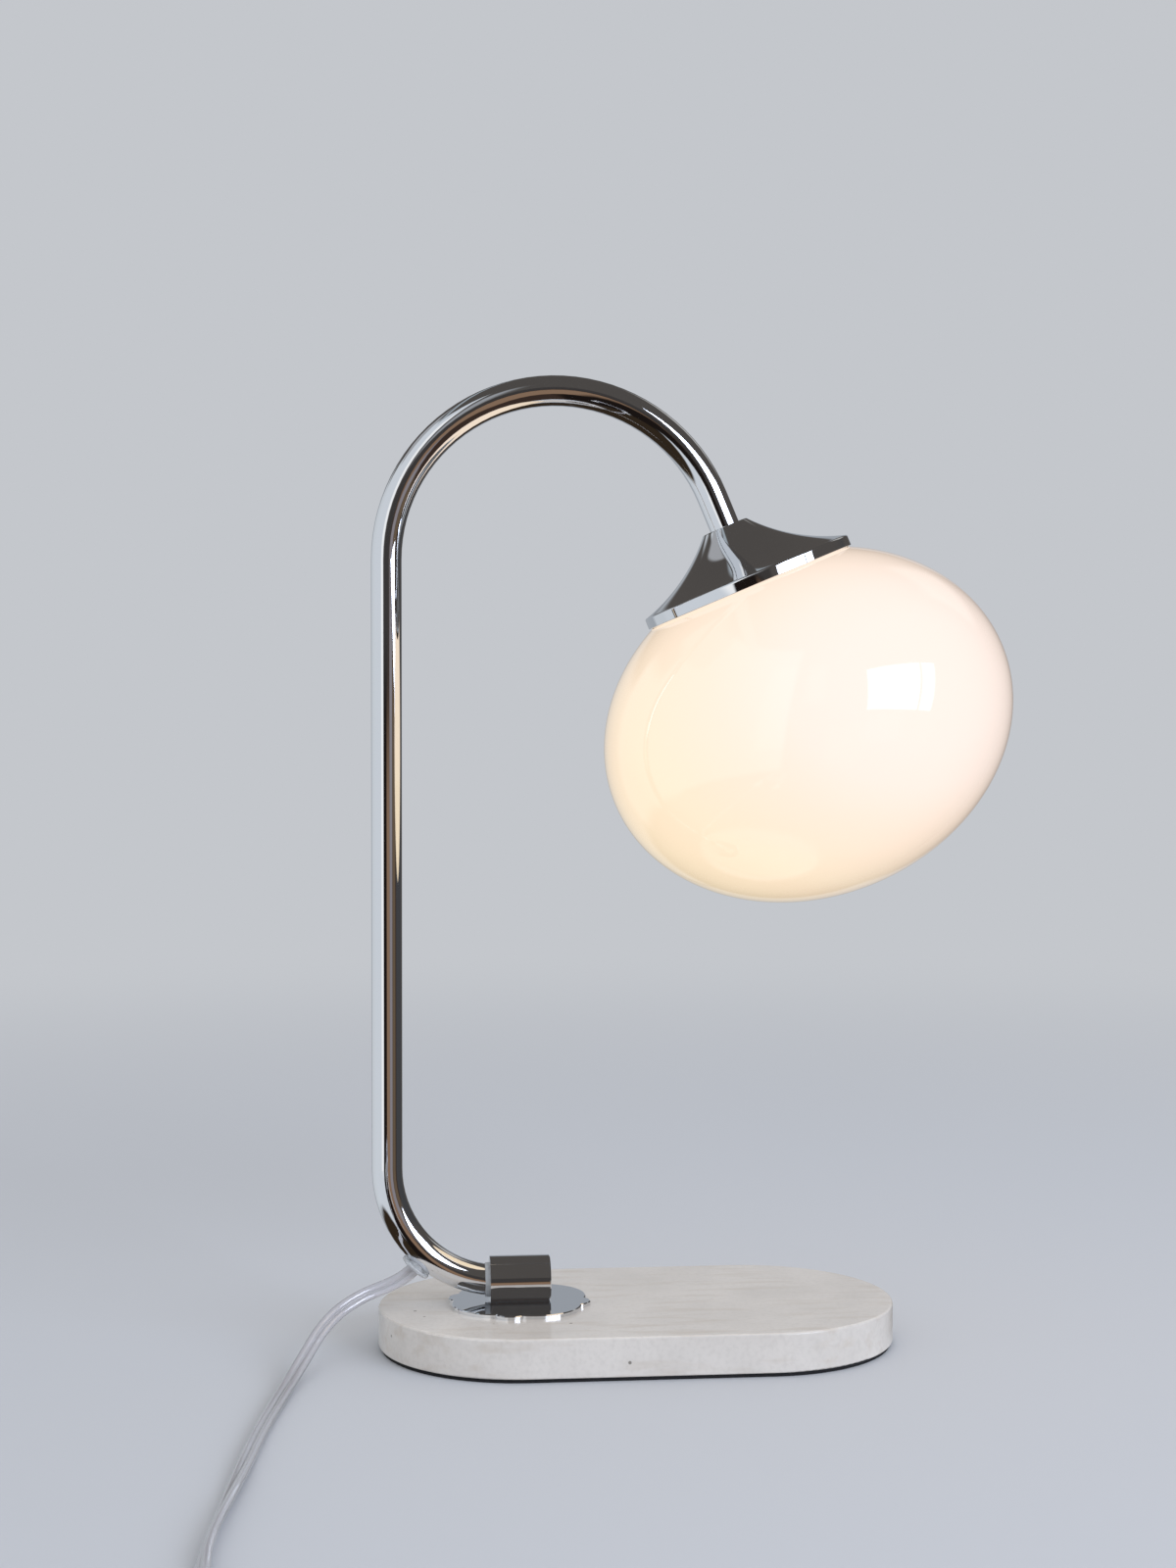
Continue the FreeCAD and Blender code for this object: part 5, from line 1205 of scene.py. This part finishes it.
@dataclass
class Rocker:
    """The switch's dished rocker, at rest pressed down on its ON side, and its two marks."""

    pivot: Point = (-200 * MM, -404 * MM, 13.5 * MM)
    tilt: float = 7.0
    width: float = 10.2 * MM
    reach: float = 9.3 * MM
    crest: float = 5.6 * MM
    dip: float = 4.6 * MM
    skirt: float = 1.6 * MM
    keel: float = 3.0 * MM
    keel_half: float = 5.0 * MM
    brow_round: float = 0.6 * MM
    # Sections of each rounded end, in millimetres: how far in from the end each one stands, and,
    # read backwards, how far it is drawn in
    end_steps: tuple[float, ...] = (0.0, 0.06, 0.25, 0.6)
    # Half the dish's length, and the marks' place, lift and slope on it
    dish_half: float = 7.43 * MM
    mark_place: float = 4.2 * MM
    mark_lift: float = 0.12 * MM
    mark_slope: float = 0.15
    ring_radius: float = 1.35 * MM
    stroke_half: float = 0.22 * MM
    bar_half: float = 1.5 * MM
    bar_round: float = 0.2 * MM
    # The bar's levels: a share of the lift, and the share of its outline that it has there
    bar_levels: tuple[Pair, ...] = ((-1.0, 1.0), (0.7, 1.0), (1.0, 0.7))
    end_points: int = 12
    dish_points: int = 17
    corner_points: int = 5
    ring_sides: int = 48
    stroke_sides: int = 12

    def axes(self) -> Axes:
        """x along the pin, y and z turned up by the tilt."""
        c, s = cos_sin(self.tilt)
        return Axes(self.pivot, (1, 0, 0), (0, c, s), (0, -s, c))

    def dish(self, across: Array | float) -> Array | float:
        """The top's height: dip + (crest - dip) t^2, where t goes to one at the dish's ends."""
        return self.dip + (self.crest - self.dip) * across**2

    def outline(self) -> Array:
        """The rocker seen along its pin: keel, round ends, and a top of two dished slopes.

        Returns:
            Rows of the distance across and the height.
        """
        low, high = (math.degrees(math.asin(height / self.reach))
                     for height in (-self.skirt, self.crest))
        right = arc((0, 0), self.reach, low, high, self.end_points)
        left = right[::-1] * [-1, 1]
        across = np.linspace(right[-1, 0], left[0, 0], self.dish_points)[1:-1]
        corners = np.vstack([
            right, np.column_stack([across, self.dish(across / right[-1, 0])]), left,
            [[-self.keel_half, -self.keel], [self.keel_half, -self.keel]]])
        radii = np.zeros(len(corners))
        radii[[len(right) - 1, len(right) + len(across)]] = self.brow_round
        return rounded(corners, radii, self.corner_points)

    def build(self) -> list[Piece]:
        """The rocker and its marks.

        Returns:
            Both pieces.
        """
        outline = self.outline()
        step, half = np.array(self.end_steps) * MM, self.width / 2
        across = np.r_[step - half, half - step[::-1]]
        inset = np.r_[step[::-1], step]
        inward = unit(outline.mean(0) - outline)
        shrunk = outline[None] + inset[:, None, None] * inward[None]
        grid = np.concatenate([
            np.broadcast_to(across[:, None, None], (*shrunk.shape[:2], 1)), shrunk], -1)
        cap = add_piece("rocker_cap", shell(self.axes().out(grid)))
        finished(cap, Slot.GLOSS, ["switch_rocker"], ROCKER, 50)
        return [cap, self.marks()]

    def marks(self) -> Piece:
        """A bar on the ON side and a ring on the OFF side, standing 0.12 mm proud.

        Returns:
            Both marks as one piece.
        """
        place, lift, thin = self.mark_place, self.mark_lift, self.stroke_half
        height = self.dish(place / self.dish_half)
        a, b = full_turn(self.ring_sides)[:, None], full_turn(self.stroke_sides)[None, :]
        radius = self.ring_radius + thin * np.cos(b)
        ring = np.stack([radius * np.cos(a), place + radius * np.sin(a),
                         height + lift * np.sin(b) + 0 * a], -1)
        ring[..., 2] += (ring[..., 1] - place) * self.mark_slope
        long = self.bar_half
        end = rounded(np.array([[-thin, -long], [thin, -long], [thin, long], [-thin, long]]),
                      [self.bar_round] * 4, self.corner_points)
        level, share = np.array(self.bar_levels).T[..., None]
        bar = np.stack([end[:, 0] * share, -place + end[:, 1] * share,
                        height + lift * level + 0 * end[:, 0]], -1)
        bar[..., 2] -= (bar[..., 1] + place) * self.mark_slope
        axes = self.axes()
        marks = add_piece("rocker_marks", shell(axes.out(ring), loop=True), shell(axes.out(bar)))
        return finished(marks, Slot.GLOSS, body=ROCKER, finish=MARK_INK)


@dataclass
class PlugBody:
    """Moulded plug: a flat grip that narrows into a ribbed strain relief."""

    middle: Pair = (-96.5 * MM, 6.9 * MM)
    face: float = -385.0 * MM
    half_width: float = 12.9 * MM
    half_height: float = 6.9 * MM
    # The grip's sides pull in by the waist, and its top and foot by a share of it
    grip: float = 22.0 * MM
    waist: float = 0.9 * MM
    waist_share: float = 0.3
    length: float = 36.0 * MM
    relief: float = 22.0 * MM
    relief_start: float = 5.0 * MM
    relief_end: float = 4.3 * MM
    # The grip narrows from this share of it to its end
    narrow_start: float = 0.8
    # How many ribs, how far into the relief they begin, how deep and how steep they are
    ribs: int = 6
    rib_start: float = 1 * MM
    rib_depth: float = 0.55 * MM
    rib_steepness: float = 1.6
    # How far the face and the tail are drawn in, and over what length they round
    face_round: Pair = (1.2 * MM, 1.3 * MM)
    tail_round: Pair = (0.8 * MM, 0.9 * MM)
    # The outline's power: a rounded oblong at the grip, a circle at the relief
    oblong: float = 3.4
    circle: float = 2.0
    # Sections of the rounded face and tail, in millimetres from their ends, and how many the
    # grip behind them and the relief have
    face_steps: tuple[float, ...] = (0.0, 0.15, 0.6, 1.3)
    tail_steps: tuple[float, ...] = (0.9, 0.4, 0.1, 0.0)
    grip_start: float = 2.4 * MM
    grip_sections: int = 30
    relief_sections: int = 70
    sides: int = 72

    @staticmethod
    def rounding(away: Array, inset: float, reach: float) -> Array:
        """How far a rounded end draws in, d from it: inset (1 - sqrt(1 - (1 - d / reach)^2))."""
        return inset * (1 - np.sqrt(1 - np.clip(1 - away / reach, 0, 1) ** 2))

    def build(self) -> Piece:
        """Sections along -Y: |x/w|^n + |z/h|^n = 1, whose w, h and n change along the plug.

        Returns:
            The plug's body.
        """
        tail = self.length + self.relief
        back = np.concatenate([
            np.array(self.face_steps) * MM,
            np.linspace(self.grip_start, self.length, self.grip_sections),
            np.linspace(self.length, tail, self.relief_sections)[1:-len(self.tail_steps)],
            tail - np.array(self.tail_steps) * MM])
        waist = self.waist * np.sin(np.pi * np.clip(back / self.grip, 0, 1)) ** 2
        narrow = smooth_step(back, self.grip * self.narrow_start, self.length)
        edge = self.rounding(back, *self.face_round)
        groove = np.clip((back - self.length) / self.relief, 0, 1)
        wave = np.clip(np.cos(2 * np.pi * self.ribs * groove) * self.rib_steepness, 0, 1)
        cut = np.where(back > self.length + self.rib_start, self.rib_depth * wave, 0)
        cut = cut + self.rounding(tail - back, *self.tail_round)
        cone = (self.relief_start + (self.relief_end - self.relief_start) * groove) * narrow - cut
        width = (self.half_width - waist - edge) * (1 - narrow) + cone
        height = (self.half_height - edge - self.waist_share * waist) * (1 - narrow) + cone
        power = 2 / (self.oblong * (1 - narrow) + self.circle * narrow)
        a = full_turn(self.sides)[None, :]
        cos, sin = np.cos(a), np.sin(a)
        x = width[:, None] * np.sign(cos) * abs(cos) ** power[:, None]
        z = height[:, None] * np.sign(sin) * abs(sin) ** power[:, None]
        grid = np.stack([self.middle[0] + x, self.face - back[:, None] + 0 * a,
                         self.middle[1] + z], -1)
        return finished(add_piece("plug_grip", shell(grid)), Slot.GLOSS, ["plug_body"], sharp=50)


def dress_cad_nodes() -> None:
    """Gives every CAD node the finish of its own slot."""
    for row in frame["record"]["subparts"]:
        piece = frame["nodes"][row["node"]]
        material = FINISHES[Slot(row["material_slot"])].material()
        for place in piece.material_slots:
            place.material = material
        if not piece.material_slots:
            piece.data.materials.append(material)


def main() -> None:
    """Builds the studio and every piece in order."""
    logging.basicConfig(level=logging.INFO, format="%(name)s %(message)s")
    Studio().build()
    dress_cad_nodes()
    rocker = Rocker().build()
    plug = PlugBody().build()
    switch = ["switch_lower_shell", "switch_upper_shell", "rocker_pin", "switch_screws",
              "switch_terminals", *rocker]
    MainsLead().build(switch, [plug, "plug_pins", "plug_pin_sleeves"])
    shade = Shade()
    shade.build()
    ExitBush().build()
    InnerLead().build(shade)


if __name__ == "__main__":
    main()
